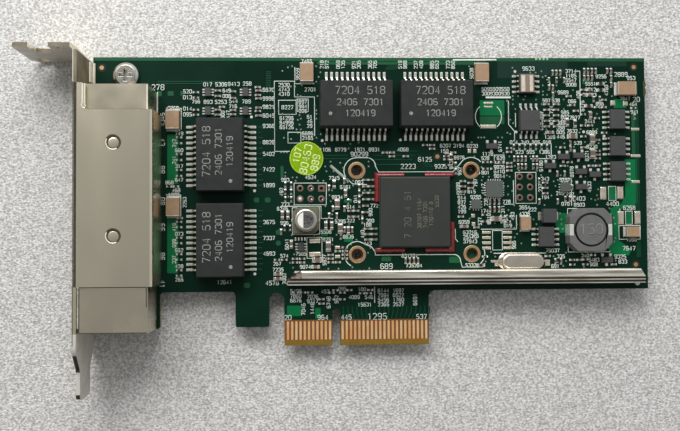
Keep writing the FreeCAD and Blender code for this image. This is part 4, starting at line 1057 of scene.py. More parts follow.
def number_paths(text: str, x: float, y: float, height: float, turn: Turn = Turn.ALONG,
                 spread: float = 1.0) -> list[list[Point]]:
    """Strokes of a number, centred on a point.

    Args:
        text: Digits and spaces.
        x: Middle along X.
        y: Middle along Y.
        height: Height of the digits.
        turn: Which way it reads.
        spread: Width of the digits as a share of the usual.

    Returns:
        Open paths of points.
    """
    advance = GLYPH_ADVANCE * spread
    width = advance * (len(text) - 1) + 0.6 * spread
    cos, sin = round(math.cos(math.radians(turn.value))), round(math.sin(math.radians(turn.value)))
    paths = []
    for i, glyph in enumerate(text):
        for stroke in STROKES[glyph]:
            path = []
            for u, v in stroke:
                a = (i * advance + u * spread - width / 2) * height
                b = (v - 0.5) * height
                path.append((x + a * cos - b * sin, y + a * sin + b * cos))
            paths.append(path)
    return paths


def rectangle_path(x0: float, x1: float, y0: float, y1: float) -> list[Point]:
    """Closed path round a rectangle."""
    return [(x0, y0), (x1, y0), (x1, y1), (x0, y1), (x0, y0)]


def ring_path(x: float, y: float, radius: float, sides: int = 28) -> list[Point]:
    """Closed path round a circle."""
    points = circle(x, y, radius, sides)
    return points + points[:1]


# --- leads ---------------------------------------------------------------------------------
@dataclass
class LeadRow:
    """Bent leads of one package, with the solder that holds each foot."""

    name: str
    node: str
    bodies: Sequence[str]
    thickness: float = 0.2
    shoulder: float = 0.2
    foot: float = 0.5
    bend: float = 0.22
    solder_beyond: float = 0.32
    solder_side: float = 0.08
    slimming: float = 0.84
    solder_height: float = 0.16

    def build(self, card: CardFrame) -> None:
        """Replaces the CAD leads with bent ones and adds their solder."""
        centres = [b.centre for name in self.bodies for b in card.solids(name)]
        leads = card.solids(self.node)
        places = []
        for lead in leads:
            home = min(centres, key=lambda c: (c - lead.centre).length)
            away = lead.centre - home
            if lead.size.x > lead.size.y:
                side = 1 if away.x > 0 else -1
                inner = lead.low.x if side > 0 else lead.high.x
                places.append(Place(inner, lead.centre.y, card.top, 0 if side > 0 else 180))
            else:
                side = 1 if away.y > 0 else -1
                inner = lead.low.y if side > 0 else lead.high.y
                places.append(Place(lead.centre.x, inner, card.top, 90 if side > 0 else 270))
        reach = max(leads[0].size.x, leads[0].size.y)
        width = min(leads[0].size.x, leads[0].size.y)
        rise = leads[0].size.z - self.thickness / 2
        low = self.thickness / 2 + 0.01
        corners = [(-0.05, rise), (self.shoulder * reach, rise), (self.foot * reach, low),
                   (reach, low)]
        lead_sketch = Sketch()
        bend = min(self.bend, 0.45 * self.shoulder * reach)
        lead_sketch.strip(rounded_path(corners, bend, 3), self.thickness, width * self.slimming)
        put_on_places(self.name, lead_sketch, places, TINNED_COPPER, "tinned_lead", [self.node])
        self.add_solder(places, reach, width)

    def add_solder(self, places: Sequence[Place], reach: float, width: float) -> None:
        """Adds a fillet of solder round each foot."""
        x0 = self.foot * reach - 0.1
        x1 = reach + self.solder_beyond
        half = width / 2 + self.solder_side
        fillet = Sketch()
        levels = ((0.0, 0.0), (0.03, 0.0), (self.solder_height, 0.13))
        fillet.stack((z, rounded_rectangle(x0 + inset, x1 - inset, inset / 2 - half,
                                           half - inset / 2, 0.08, 2)) for z, inset in levels)
        put_on_places(self.name + "_solder", fillet, places, SOLDER, "tinned_lead")


def softened_piece(card: CardFrame, name: str, node: str, finish: Finish, slot: str, radius: float,
                   segments: int = 2) -> Object:
    """Replaces a CAD node by a copy of itself with its sharp edges rounded.

    Args:
        card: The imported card.
        name: Name of the piece.
        node: CAD node that it copies and replaces.
        finish: Its finish.
        slot: The record's material slot.
        radius: Radius of the rounded edges.
        segments: How many faces each rounded edge has.

    Returns:
        The piece.
    """
    sketch = Sketch(card.merged(node))
    sketch.soften(radius, segments)
    return sketch.piece(name, finish, slot, [node])


def softened_pieces(card: CardFrame, *rows: tuple) -> None:
    """Makes a softened piece of each row, which holds softened_piece's other arguments."""
    for row in rows:
        softened_piece(card, *row)


# --- board ---------------------------------------------------------------------------------
class Layout:
    """Remembers the ground that parts and print take, so that print stays off the parts."""

    def __init__(self, card: CardFrame) -> None:
        """Notes every part that stands on the board."""
        self.taken: list[tuple[float, float, float, float]] = []
        flat = ("circuit_board", "bracket", "edge_contacts")
        for node in card.data["nodes"]:
            if not node.startswith(flat):
                room = 0.4 if "_leads" in node else 0.0
                for box in card.solids(node):
                    self.take(box.low.x - room, box.high.x + room, box.low.y - room,
                              box.high.y + room)

    def take(self, x0: float, x1: float, y0: float, y1: float) -> None:
        """Marks a rectangle as taken."""
        self.taken.append((x0, x1, y0, y1))

    def free(self, x0: float, x1: float, y0: float, y1: float) -> bool:
        """Tells whether a rectangle is on the board and touches nothing."""
        if not any(x0 > a and x1 < b and y0 > c and y1 < d
                   for a, b, c, d in (MAIN_GROUND, TONGUE_GROUND)):
            return False
        return not any(x0 < b and x1 > a and y0 < d and y1 > c for a, b, c, d in self.taken)


@dataclass
class Board:
    """The bare board: solder mask, copper under it, tinned lands and plated holes."""

    card: CardFrame
    layout: Layout
    heatsink_pitch: Point = (27.6, 20.1)
    heatsink_hole: float = 3.0
    heatsink_land: float = 4.12
    header_pitch: float = 2.54
    header_land: float = 1.6
    header_hole: float = 0.95
    barrel_wall: float = 0.06
    land_rise: float = 0.06

    def build(self) -> None:
        """Dresses the board node and adds what is etched and plated on it."""
        self.card.node("circuit_board").material_slots[0].material = SOLDER_MASK.material()
        self.pours()
        self.traces()
        self.tinned_lands()
        self.plated_holes()
        self.fiducials()

    def slab(self, name: str, outlines: Sequence[Sequence[Point]], lift: float, finish: Finish,
             slot: str) -> None:
        """Lays thin flat shapes on the component face.

        Args:
            name: The piece's name.
            outlines: Outline of each shape.
            lift: How far they stand above the mask.
            finish: Their finish.
            slot: The record's material slot.
        """
        sketch = Sketch()
        for outline in outlines:
            sketch.prism(outline, self.card.top - 0.01, self.card.top + lift)
        sketch.piece(name, finish, slot, smooth_degrees=10)

    def pours(self) -> None:
        """Adds the copper areas that shine through the mask."""
        bright = [rounded_rectangle(*sides) for sides in (
            (-40.0, -37.4, 38.6, 50.4, 0.3), (-40.0, -37.4, 17.4, 30.6, 0.3),
            (35.0, 41.0, 54.9, 58.6, 0.3), (-11.7, -8.2, 7.0, 9.5, 0.3),
            (-5.0, -3.7, 6.3, 8.9, 0.3), (67.8, 70.9, 56.7, 58.9, 0.3),
            (66.4, 67.8, 34.4, 37.4, 0.1), (70.45, 71.7, 28.6, 31.4, 0.1),
            (2.0, 4.1, 24.6, 25.9, 0.2), (-3.5, -1.9, 26.0, 27.1, 0.2),
            (2.0, 3.9, 34.0, 34.8, 0.2),
        )]
        bright += [[(53.1, 31.2), (53.1, 28.4), (54.2, 26.4), (55.9, 26.6), (55.9, 31.2)],
                   [(70.3, 44.2), (70.3, 35.4), (69.3, 33.4), (66.6, 32.3), (66.6, 31.2),
                    (67.2, 30.6), (67.2, 24.2), (66.1, 23.6), (66.1, 20.9), (70.9, 20.9),
                    (71.6, 22.4), (68.7, 24.4), (68.4, 31.9), (71.6, 32.6), (73.4, 33.8),
                    (73.4, 44.2)]]
        self.slab("copper_pours_bright", bright, 0.012, MASK_ON_COPPER, "board")
        dull = [rounded_rectangle(*sides) for sides in (
            (-4.2, 34.0, 67.25, 67.95, 0.2), (-42.3, -41.3, 59.6, 60.8, 0.2),
            (-39.9, -38.5, 59.7, 60.8, 0.2), (-36.9, -36.2, 59.7, 60.8, 0.2),
            (-19.5, -18.2, 34.1, 35.3, 0.5), (-21.9, -20.5, 13.8, 15.0, 0.4),
            (-16.9, -15.5, 34.1, 35.3, 0.5), (-14.3, -13.1, 26.4, 27.6, 0.5),
            (-14.3, -13.1, 23.8, 25.0, 0.5), (-13.1, -12.4, 40.0, 42.8, 0.2),
            (60.2, 61.5, 62.5, 63.9, 0.3), (72.1, 72.9, 44.6, 57.0, 0.2),
            (35.0, 41.0, 52.8, 54.7, 0.3), (10.9, 13.2, 19.9, 21.0, 0.3),
            (27.2, 29.9, 19.4, 20.9, 0.3),
        )]
        dull.append([(-57.2, 68.1), (75.3, 68.1), (75.3, 68.85), (-57.2, 68.85)])
        self.slab("copper_pours_dull", dull, 0.011, MASK_ON_PLANE, "board")
        ground = [[(39.4, 68.05), (39.4, 64.0), (50.6, 64.0), (52.8, 65.4), (56.6, 65.4),
                   (56.6, 68.05)], rounded_rectangle(61.5, 71.2, 66.9, 68.05, 0.2)]
        self.slab("ground_plane_corner", ground, 0.009, MASK_ON_GROUND, "board")

    def traces(self) -> None:
        """Adds the wider traces that show under the mask."""
        paths = [[(-42.3, y), (-26.2, y)] for y in (62.6, 63.1)]
        paths += [[(9.2, y), (19.8 - i * 0.6, y)] for i, y in enumerate((46.3, 45.3, 44.3, 43.1))]
        paths += [[(-2.6, y), (3.0, y)] for y in (45.3, 44.5)]
        paths += [[(19.9, 45.6 - i * 0.7), (21.8, 43.4 - i * 0.7), (24.0, 42.4)] for i in range(2)]
        for i in range(1, 21):
            x = 1.3 + i
            lean = 0.35 * (i - 8) / 4
            paths.append([(x, 6.0), (x, 6.7), (x + lean, 7.6 + 0.12 * (i % 5)), (x + lean, 9.2)])
        for y0 in (45.15, 25.15):
            for i in range(12):
                y = y0 + (i - 5.5) * 1.27
                paths.append([(-18.4, y), (-17.6 + 0.3 * (i % 2), y)])
        for i in range(9):
            paths.append([(-16.5, 65.4 - i * 0.42), (-15.3, 65.4 - i * 0.42)])
        for i in range(5):
            x = 12.4 + i * 0.55
            paths.append([(x, 66.0), (x + 0.8, 67.1)])
        paths += [[(33.4, 55.8 - i), (34.4, 57.0 - i)] for i in range(3)]
        paths += [[(73.0 + 0.35 * i, 20.5), (73.0 + 0.35 * i, 62.0)] for i in range(3)]
        level = self.card.top + 0.006
        lay_ribbons("traces_under_mask", paths, level, 0.24, MASK_ON_TRACE, "board")

    def tinned_lands(self) -> None:
        """Adds the bare tinned lands of the places that hold no part."""
        lands = [
            (-5.0, 24.9, 2.6, 1.1), (-5.0, 21.7, 2.8, 1.1),
            (64.9, 36.0, 1.5, 3.1), (69.1, 36.1, 1.5, 3.1),
            (69.1, 30.0, 1.5, 3.2), (73.2, 30.0, 1.5, 3.2),
            (37.1, 57.9, 2.4, 0.55), (37.1, 57.0, 2.0, 0.4), (37.0, 52.2, 4.0, 1.0),
            (67.6, 57.9, 1.2, 1.3), (70.7, 57.8, 1.2, 1.2),
            (0.4, 23.3, 1.2, 0.7), (0.4, 21.1, 1.2, 0.7),
            (33.1, 30.7, 0.9, 0.9), (33.2, 28.7, 0.9, 0.9),
            (32.4, 46.3, 0.8, 1.0), (33.7, 46.3, 0.8, 1.0),
            (26.9, 45.8, 1.0, 0.5), (38.8, 19.1, 1.2, 1.2), (51.0, 19.1, 1.3, 1.1),
            (72.9, 38.7, 2.0, 0.7), (73.0, 51.5, 2.0, 0.7), (73.0, 45.0, 2.4, 0.7),
        ]
        lands += [(x, 22.9 + i * 1.25, 2.1, 0.62) for x in (36.3, 41.4) for i in range(4)]
        lands += [(-9.6 + i * 0.75, 25.3, 0.35, 0.8) for i in range(4)]
        sketch = Sketch()
        top = self.card.top
        for x, y, length, width in lands:
            self.layout.take(x - length / 2, x + length / 2, y - width / 2, y + width / 2)
            dome = min(0.4, 0.2 * min(length, width))
            levels = ((-0.01, 0.0), (0.03, 0.0), (dome * 0.7, dome * 0.5), (dome, dome))
            sketch.stack((top + z, centred_rectangle(x, y, length - 2 * inset, width - 2 * inset,
                                                     0.08, 2)) for z, inset in levels)
        sketch.piece("tinned_lands", DOMED_SOLDER, "tinned_lead")
        dots = [(-20.0, 54.6), (-19.3, 36.9), (-19.3, 17.1), (-3.1, 48.9), (15.7, 49.0),
                (43.7, 65.6), (43.8, 50.9), (65.3, 49.9), (60.3, 50.9), (59.0, 44.3), (34.6, 41.0)]
        self.slab("test_points", [circle(x, y, 0.34, 14) for x, y in dots], 0.06, SOLDER,
                  "tinned_lead")
        for x, y in dots:
            self.layout.take(x - 0.4, x + 0.4, y - 0.4, y + 0.4)

    def heatsink_holes(self) -> list[Point]:
        """Middles of the four holes round the controller."""
        mould = self.card.box("controller_mould_cap").centre
        half_x, half_y = (pitch / 2 for pitch in self.heatsink_pitch)
        return [(mould.x + i * half_x, mould.y + j * half_y) for i in (-1, 1) for j in (-1, 1)]

    def header_holes(self) -> list[Point]:
        """Middles of the holes of both empty headers, six of each."""
        pitch = self.header_pitch
        first = [(-8.45 + i * pitch, 34.9 + j * pitch) for i in range(3) for j in range(2)]
        second = [(44.5 + i * pitch, 35.0 + j * pitch) for i in range(2) for j in range(3)]
        return first + second

    def hole_linings(self) -> None:
        """Adds the browned funnel inside each heatsink hole."""
        low, high = self.card.under, self.card.top
        profile = [(1.76, high + 0.075), (1.1, high - 0.2), (1.05, high - 0.5), (1.05, low + 0.2),
                   (1.3, low + 0.02), (1.42, low + 0.02), (1.42, high - 0.1), (1.7, high + 0.05)]
        sketch = Sketch()
        for x, y in self.heatsink_holes():
            sketch.lathe(profile, (x, y), 32)
        sketch.piece("heatsink_hole_linings", HOLE_BROWN, "gold")

    def plated_holes(self) -> None:
        """Adds rings on both faces and the barrel through each plated hole."""
        self.hole_linings()
        for name, places, land, hole, finish in (
            ("heatsink_hole_lands", self.heatsink_holes(), self.heatsink_land, self.heatsink_hole,
             LAND_COPPER),
            ("header_hole_lands", self.header_holes(), self.header_land, self.header_hole,
             HEADER_COPPER),
        ):
            outer, inner = land / 2, hole / 2 - self.barrel_wall
            low, high = self.card.under - self.land_rise, self.card.top + self.land_rise
            profile = [(inner, low), (outer - 0.08, low), (outer, low + 0.05), (outer, low + 0.07),
                       (hole / 2 - 0.01, low + 0.07), (hole / 2 - 0.01, high - 0.07),
                       (outer, high - 0.07), (outer, high - 0.05), (outer - 0.08, high),
                       (inner, high)]
            sketch = Sketch()
            for x, y in places:
                self.layout.take(x - outer, x + outer, y - outer, y + outer)
                sketch.lathe(profile, (x, y), 32 if hole > 2 else 16)
            sketch.piece(name, finish, "gold")
        self.header_marks()

    def header_marks(self) -> None:
        """Squares the first header's pin 1 land and adds the solder left in four of its holes."""
        top = self.card.top
        holes = self.header_holes()
        x, y = holes[5]
        square = Sketch()
        rings = []
        inner = self.header_hole / 2 + 0.02
        low, high = top - 0.01, top + 0.05
        for i in range(32):
            angle = math.pi * i / 16
            cos, sin = math.cos(angle), math.sin(angle)
            outer = self.header_land / 2 / max(abs(cos), abs(sin))
            points = ((inner, low), (outer, low), (outer, high), (inner, high))
            rings.append([Vector((x + r * cos, y + r * sin, z)) for r, z in points])
        square.loft(rings, closed=True)
        square.piece("header_square_land", HEADER_COPPER, "gold")
        beads = Sketch()
        for hole, radius in ((0, 0.5), (2, 0.26), (3, 0.24), (4, 0.2)):
            x, y = holes[hole]
            shift = 0.46 - min(radius, 0.46)
            profile = [(AXIS_GAP, top - 0.4), (radius, top - 0.4), (radius, top - 0.02),
                       (radius * 0.7, top + radius * 0.3), (AXIS_GAP, top + radius * 0.45)]
            beads.lathe(profile, (x + shift, y - shift * 0.6), 14)
        beads.piece("header_solder_beads", SOLDER, "tinned_lead")

    def fiducials(self) -> None:
        """Adds the bare dots that the placing machine looks for."""
        places = [(-55.5, 66.4), (72.9, 66.7), (72.6, 18.7), (24.6, 45.0)]
        self.slab("fiducial_windows", [circle(x, y, 0.95) for x, y in places], 0.012, MASK_ON_BARE,
                  "board")
        dots = [circle(x, y, 0.5) for x, y in places]
        self.slab("fiducial_dots", dots, 0.03, LAND_COPPER, "gold")
        for x, y in places:
            self.layout.take(x - 1, x + 1, y - 1, y + 1)


@dataclass
class Legend:
    """White print: outlines, and plain numbers beside the parts."""

    card: CardFrame
    layout: Layout
    holes: Sequence[Point]
    stroke: float = 0.17
    line: float = 0.2
    height: float = 0.85
    lift: float = 0.02
    draw: Iterator[int] = field(default_factory=lambda: draws(137, 73, 41, 8999))
    numbers: list[list[Point]] = field(default_factory=list)
    lines: list[list[Point]] = field(default_factory=list)

    def build(self) -> None:
        """Prints the legend."""
        self.outlines()
        self.fixed_numbers()
        self.part_numbers()
        self.broad_marks()
        level = self.card.top + self.lift
        lay_ribbons("legend_outlines", self.lines, level, self.line, LEGEND_INK, "board")
        half = len(self.numbers) // 2
        for i, paths in enumerate((self.numbers[:half], self.numbers[half:]), 1):
            lay_ribbons(f"legend_numbers_{i}", paths, level, self.stroke, LEGEND_INK, "board")

    def number(self, x: float, y: float, digits: int = 4, turn: Turn = Turn.ALONG,
               height: float | None = None, check: bool = False) -> bool:
        """Prints the next plain number.

        Args:
            x: Middle along X.
            y: Middle along Y.
            digits: How many digits.
            turn: Which way it reads.
            height: Height of the digits, if not the usual.
            check: Whether it is left out where something is in its way.

        Returns:
            Whether it was printed.
        """
        tall = height or self.height
        wide = tall * (GLYPH_ADVANCE * (digits - 1) + 0.6)
        half_x, half_y = wide / 2 + 0.08, tall / 2 + 0.08
        if turn in (Turn.UP, Turn.DOWN):
            half_x, half_y = half_y, half_x
        ground = (x - half_x, x + half_x, y - half_y, y + half_y)
        if check and not self.layout.free(*ground):
            return False
        self.layout.take(*ground)
        text = str(next(self.draw) + 1000)[-digits:]
        if digits > 4:
            text = (text * 4)[:digits]
        self.numbers += number_paths(text, x, y, tall, turn)
        return True

    def outlines(self) -> None:
        """Draws the frames round parts and empty places."""
        box = rectangle_path
        self.lines += [
            box(-10.35, -3.85, 26.4, 32.8),
            [(-13.1, 33.15), (-3.5, 33.15), (-3.5, 30.2), (-0.6, 30.2)],
            [(35.0, 27.4), (43.6, 27.4), (43.6, 30.8)], [(43.0, 39.2), (43.0, 33.4), (40.6, 33.4)],
            box(68.6, 73.8, 24.8, 28.1),
            [(58.4, 32.3), (56.1, 32.3), (56.1, 21.8), (66.4, 21.8)],
            [(59.6, 55.0), (59.6, 65.7), (58.7, 65.7)],
            [(42.0, 58.5), (42.0, 52.7), (43.4, 51.1), (43.4, 48.1), (52.3, 48.1), (52.3, 44.2)],
            [(43.7, 52.1), (43.7, 55.5)], [(50.2, 51.3), (50.2, 55.6)],
            [(38.0, 21.6), (50.6, 21.6)], [(54.5, 39.5), (57.1, 39.5), (57.1, 33.0)],
            [(-40.3, 56.7), (-36.7, 56.7), (-36.7, 51.6)],
            [(-40.3, 36.0), (-36.8, 36.0), (-36.8, 30.9)],
            [(-9.6, 66.6), (-9.6, 62.6), (-4.9, 62.6)], [(-42.3, 55.6), (-42.3, 60.6)],
            [(-10.9, 46.3), (-14.5, 46.3), (-14.5, 63.2), (-9.7, 63.2), (-9.7, 59.4), (-4.9, 59.4),
             (-4.9, 50.0)],
            box(-13.5, -9.3, 55.2, 58.6), box(-9.0, -6.4, 55.9, 58.9),
            box(-11.3, -8.2, 48.3, 50.9),
            box(38.4, 40.8, 43.3, 45.3), [(47.2, 44.4), (52.3, 44.4)],
            [(68.9, 31.6), (68.9, 32.2)], [(52.2, 62.3), (52.2, 63.6), (51.4, 63.6)],
            [(9.2, 13.8), (9.2, 10.0)],
            arc(37.1, 54.6, 3.2, -50, 50), arc(37.1, 54.6, 3.2, 130, 230),
        ]
        for framed in ((-9.9, -2.2, 33.5, 38.7), (-6.9, -3.3, 20.7, 25.7),
                       (37.75, 40.1, 22.4, 27.1), (43.5, 48.5, 33.6, 41.1),
                       (66.2, 68.0, 34.2, 37.6), (70.25, 71.9, 28.4, 31.6)):
            self.lines.append(box(*framed))
            self.layout.take(*framed)
        for clear in ((33.8, 41.2, 50.6, 59.2), (35.0, 42.6, 59.5, 68.0), (48.5, 58.0, 66.0, 68.6),
                      (58.5, 72.0, 66.5, 68.6), (66.0, 73.6, 38.6, 44.4)):
            self.layout.take(*clear)
        self.heatsink_frame()

    def heatsink_frame(self, radius: float = 3.1) -> None:
        """Draws the heatsink's foot: lobes round its four holes, joined by straight sides."""
        (x0, y0), (x1, y1) = self.holes[0], self.holes[-1]
        upper, lower = y1 - 0.35, y0 - 0.15
        self.lines += [
            arc(x0, y1, radius, 180, 90) + [(x0 + 2.2, y1 + radius)]
            + arc(x0 + 2.4, y1 + 1.0, 2.1, 90, 0) + [(x0 + 5.2, upper)]
            + [(x1 - 4.4, upper)] + arc(x1, y1, radius, 150, 40),
            arc(x0, y1, radius, 180, 225) + [(x0 - 1.0, y1 - 3.2), (x0 + 2.4, y1 - 3.4)],
            arc(x0, y0, radius, 240, 80) + [(x0 + 3.4, y0 + 1.8), (x0 + 4.3, y0 + 0.6)]
            + [(x0 + 4.3, lower), (x1 - 4.8, lower)]
            + arc(x1 - 4.4, lower - 1.6, 1.6, 80, 0)
            + [(x1 - 2.4, y0 - 3.2), (x1 + 2.6, y0 - 3.2)],
            arc(x1, y0, radius, -60, 30),
            [(x1 - 3.4, y0 + 2.9), (x1 - 4.0, y0 + 3.6), (x1 - 4.0, y0 + 6.0)],
        ]

    def broad_marks(self) -> None:
        """Draws the broad slanting mark by the upper hole and a painted highlight in white ink
        along the upper edge.
        """
        x, y = self.holes[1]
        # The edge glare strip is a painted highlight: pale ink where the mask's edge catches the
        # light.
        for name, start, end, width, finish in (
            ("slanting_mark", (x - 6.3, y + 1.2), (x - 2.0, y - 2.5), 0.66, THIN_INK),
            ("edge_strip", (28.6, 68.35), (39.2, 68.45), 0.42, LEGEND_INK),
            ("solid_bar", (36.5, 59.25), (42.6, 59.25), 0.5, LEGEND_INK),
        ):
            level = self.card.top + self.lift
            lay_ribbons("legend_" + name, [[start, end]], level, width, finish, "board")
        nubs = Sketch()
        board = self.card.board
        for i in range(4):
            nubs.block((48.7 + i * 0.9, board.high.y - 0.5, board.low.z + 0.1),
                       (49.25 + i * 0.9, board.high.y + 0.1, self.card.top + 0.03))
        nubs.soften(0.06, 1)
        nubs.piece("breakaway_teeth", GLASS_FIBRE, "board")
        ragged = Sketch()
        for i in range(6):
            out = 0.12 + 0.1 * (i * 5 % 3)
            ragged.block((board.high.x - 0.35, 59.6 + i * 0.6, board.low.z + 0.1),
                         (board.high.x + out, 60.3 + i * 0.6, self.card.top + 0.02))
        ragged.piece("breakaway_stub", STUB_EPOXY, "board")

    def fixed_numbers(self) -> None:
        """Prints the numbers that have a place of their own."""
        for y in (48.6, 42.0, 34.5, 28.3, 21.4, 14.9):
            self.number(-41.2, y, 2, Turn.DOWN, 1.15)
        self.number(-42.2, 61.7, 3, height=1.25)
        self.number(-41.1, 54.0, 4, Turn.UP, 0.95)
        self.number(-35.9, 34.2, 4, Turn.UP, 0.75)
        for y in (60.7, 59.3, 56.6, 55.2):
            self.number(-35.2, y, 3)
        for x, y, digits in (
            (-30.4, 62.4, 3), (-27.2, 62.4, 4), (-24.2, 62.5, 4), (-21.0, 62.6, 3),
            (-30.3, 58.2, 3), (-27.3, 58.2, 4), (-24.3, 58.4, 3), (-21.2, 58.3, 3),
            (-5.9, 61.2, 4), (-11.4, 56.9, 4),
        ):
            self.number(x, y, digits)
        for y in (61.1, 59.0, 57.0, 54.9, 52.4, 48.5, 45.7, 42.0, 38.2, 29.4, 25.6, 21.9):
            self.number(-15.9, y, 4)
        self.number(-8.9, 64.9, 4, Turn.UP)
        for x in (-3.1, -1.9, 0.8, 2.0, 4.6, 5.8, 8.5, 9.7, 15.8, 17.0, 19.6, 20.9, 23.5, 24.7,
                  27.4, 28.6):
            self.number(x, 67.2, 3, Turn.UP, 0.8)
        for x in (-2.4, 1.3, 5.9, 9.4, 16.3):
            self.number(x, 46.7, 4, height=0.8)
        for x, y, digits, height in (
            (5.8, 45.6, 5, 1.0), (17.5, 42.6, 4, 1.1), (25.4, 42.6, 4, 0.9), (21.6, 44.3, 4, 1.0),
            (26.6, 47.6, 4, 0.8), (29.8, 47.6, 4, 0.8), (33.1, 47.5, 4, 0.8), (26.3, 46.3, 3, 0.8),
            (12.1, 18.7, 3, 1.2), (67.1, 33.4, 4, 0.95), (71.2, 32.4, 4, 0.9),
            (71.0, 22.6, 4, 0.95), (68.8, 20.6, 4, 0.85), (69.4, 19.4, 3, 0.85),
            (69.7, 64.9, 4, 1.0), (72.2, 64.0, 3, 0.85), (47.0, 66.3, 4, 0.9),
            (73.4, 58.8, 2, 1.1), (58.9, 34.7, 4, 0.95), (59.0, 33.2, 4, 0.8),
            (-11.5, 6.65, 2, 1.05), (-3.2, 6.65, 3, 1.05), (2.4, 6.65, 3, 1.05),
            (20.4, 6.6, 3, 1.05), (9.8, 6.75, 4, 1.4), (-15.2, 14.9, 4, 0.95),
            (-26.5, 15.2, 5, 0.85), (33.4, 25.8, 3, 0.8),
        ):
            self.number(x, y, digits, height=height)
        for x, y in ((-7.8, 8.6), (-5.7, 8.8), (-1.8, 10.2), (18.9, 10.7)):
            self.number(x, y, 4, Turn.UP, 0.85)
        self.blocks()

    def blocks(self) -> None:
        """Prints the blocks of numbers that stand together, row under row."""
        for x, y, rows, digits in (
            (-12.2, 62.3, 3, 4), (-7.7, 58.2, 3, 3), (-11.6, 54.3, 3, 5), (-6.1, 54.6, 3, 2),
            (-6.6, 50.6, 2, 4), (38.9, 61.3, 2, 10), (57.4, 65.7, 4, 4), (55.4, 60.5, 1, 4),
            (-9.6, 12.9, 3, 4), (-5.6, 11.6, 2, 4), (-2.6, 12.8, 1, 3), (4.3, 11.4, 1, 4),
            (6.8, 9.6, 1, 5), (11.3, 12.9, 4, 4), (14.9, 12.9, 4, 4), (-5.9, 40.1, 1, 4),
            (32.3, 26.7, 3, 5), (30.2, 36.2, 1, 3), (30.4, 35.0, 4, 3), (55.8, 55.6, 3, 3),
            (54.7, 53.0, 4, 3), (40.6, 30.4, 2, 3), (45.6, 32.6, 1, 4), (52.3, 22.2, 1, 5),
            (62.2, 61.2, 1, 4), (61.9, 59.9, 1, 5), (54.3, 36.0, 1, 3), (39.6, 42.4, 3, 4),
            (36.8, 45.6, 1, 4), (50.6, 46.0, 1, 4), (47.5, 32.1, 1, 3), (64.8, 64.4, 1, 4),
        ):
            for i in range(rows):
                self.number(x, y - i * 1.1, digits, height=0.8)

    def part_numbers(self) -> None:
        """Prints a number beside each chip that has room for one."""
        kinds = ("capacitors", "resistors", "transistors", "arrays", "chips")
        boxes = [box for node in sorted(self.card.data["nodes"]) if node.endswith(kinds)
                 for box in self.card.solids(node)]
        for box in boxes:
            digits = 3 if max(box.size.x, box.size.y) < 1.2 else 4
            far = self.height / 2 + 0.25
            beside = ((box.centre.x, box.high.y + far, Turn.ALONG),
                      (box.centre.x, box.low.y - far, Turn.ALONG),
                      (box.low.x - far, box.centre.y, Turn.UP),
                      (box.high.x + far, box.centre.y, Turn.UP),
                      (box.high.x + 1.6, box.centre.y, Turn.ALONG),
                      (box.low.x - 1.6, box.centre.y, Turn.ALONG))
            for x, y, turn in beside:
                if self.number(x, y, digits, turn, 0.78, check=True):
                    break


@dataclass
class EdgeContacts:
    """Gold contacts of the card edge on both faces, with bare laminate between them."""

    card: CardFrame
    bare_top: float = 6.1
    bevel_height: float = 1.3
    bevel_depth: float = 0.5
    film: float = 0.02
    slimming: float = 0.085

    def build(self) -> None:
        """Makes the contacts and the bare laminate of each face."""
        for side, node in ((1, "component"), (-1, "solder")):
            name = f"edge_contacts_{node}_side"
            pads = self.card.solids(name)
            sketch = Sketch()
            for pad in pads:
                sketch.prism(self.pad_outline(pad), pad.low.z, pad.high.z)
            sketch.piece(name + "_gold", FINGER_GOLD, "gold", [name])
            self.bare_strips(f"bare_laminate_{node}_side", side, pads)

    def pad_outline(self, pad: Box) -> list[Point]:
        """Outline of one contact, round at its upper end."""
        slim = self.slimming
        radius = pad.size.x / 2 - slim
        x0, x1, y0, y1 = pad.low.x + slim, pad.high.x - slim, pad.low.y, pad.high.y
        return [(x0, y0), (x1, y0)] + arc(pad.centre.x, y1 - radius, radius, 0, 180, 30)

    def bare_strips(self, name: str, side: int, pads: Sequence[Box]) -> None:
        """Adds the unmasked laminate round the contacts and on the bevel."""
        face = self.card.top if side > 0 else self.card.under
        edge = face - side * self.bevel_depth
        sketch, bevel = Sketch(), Sketch()
        left = [p for p in pads if p.centre.x < 0]
        right = [p for p in pads if p.centre.x > 0]
        for group, grow_left, grow_right in ((left, 0.5, 0.15), (right, 0.15, 0.3)):
            x0 = group[0].low.x - grow_left
            x1 = group[-1].high.x + grow_right
            for target, rows in ((bevel, ((0.02, edge), (self.bevel_height, face))),
                                 (sketch, ((self.bevel_height, face), (self.bare_top, face)))):
                rings = []
                for y, z in rows:
                    out = z + side * self.film
                    rings.append([Vector((x0, y, z)), Vector((x1, y, z)), Vector((x1, y, out)),
                                  Vector((x0, y, out))])
                target.loft(rings)
        sketch.piece(name, BARE_LAMINATE, "board", smooth_degrees=10)
        name = name.replace("bare_laminate", "ground_bevel")
        bevel.piece(name, GROUND_BEVEL, "board", smooth_degrees=10)


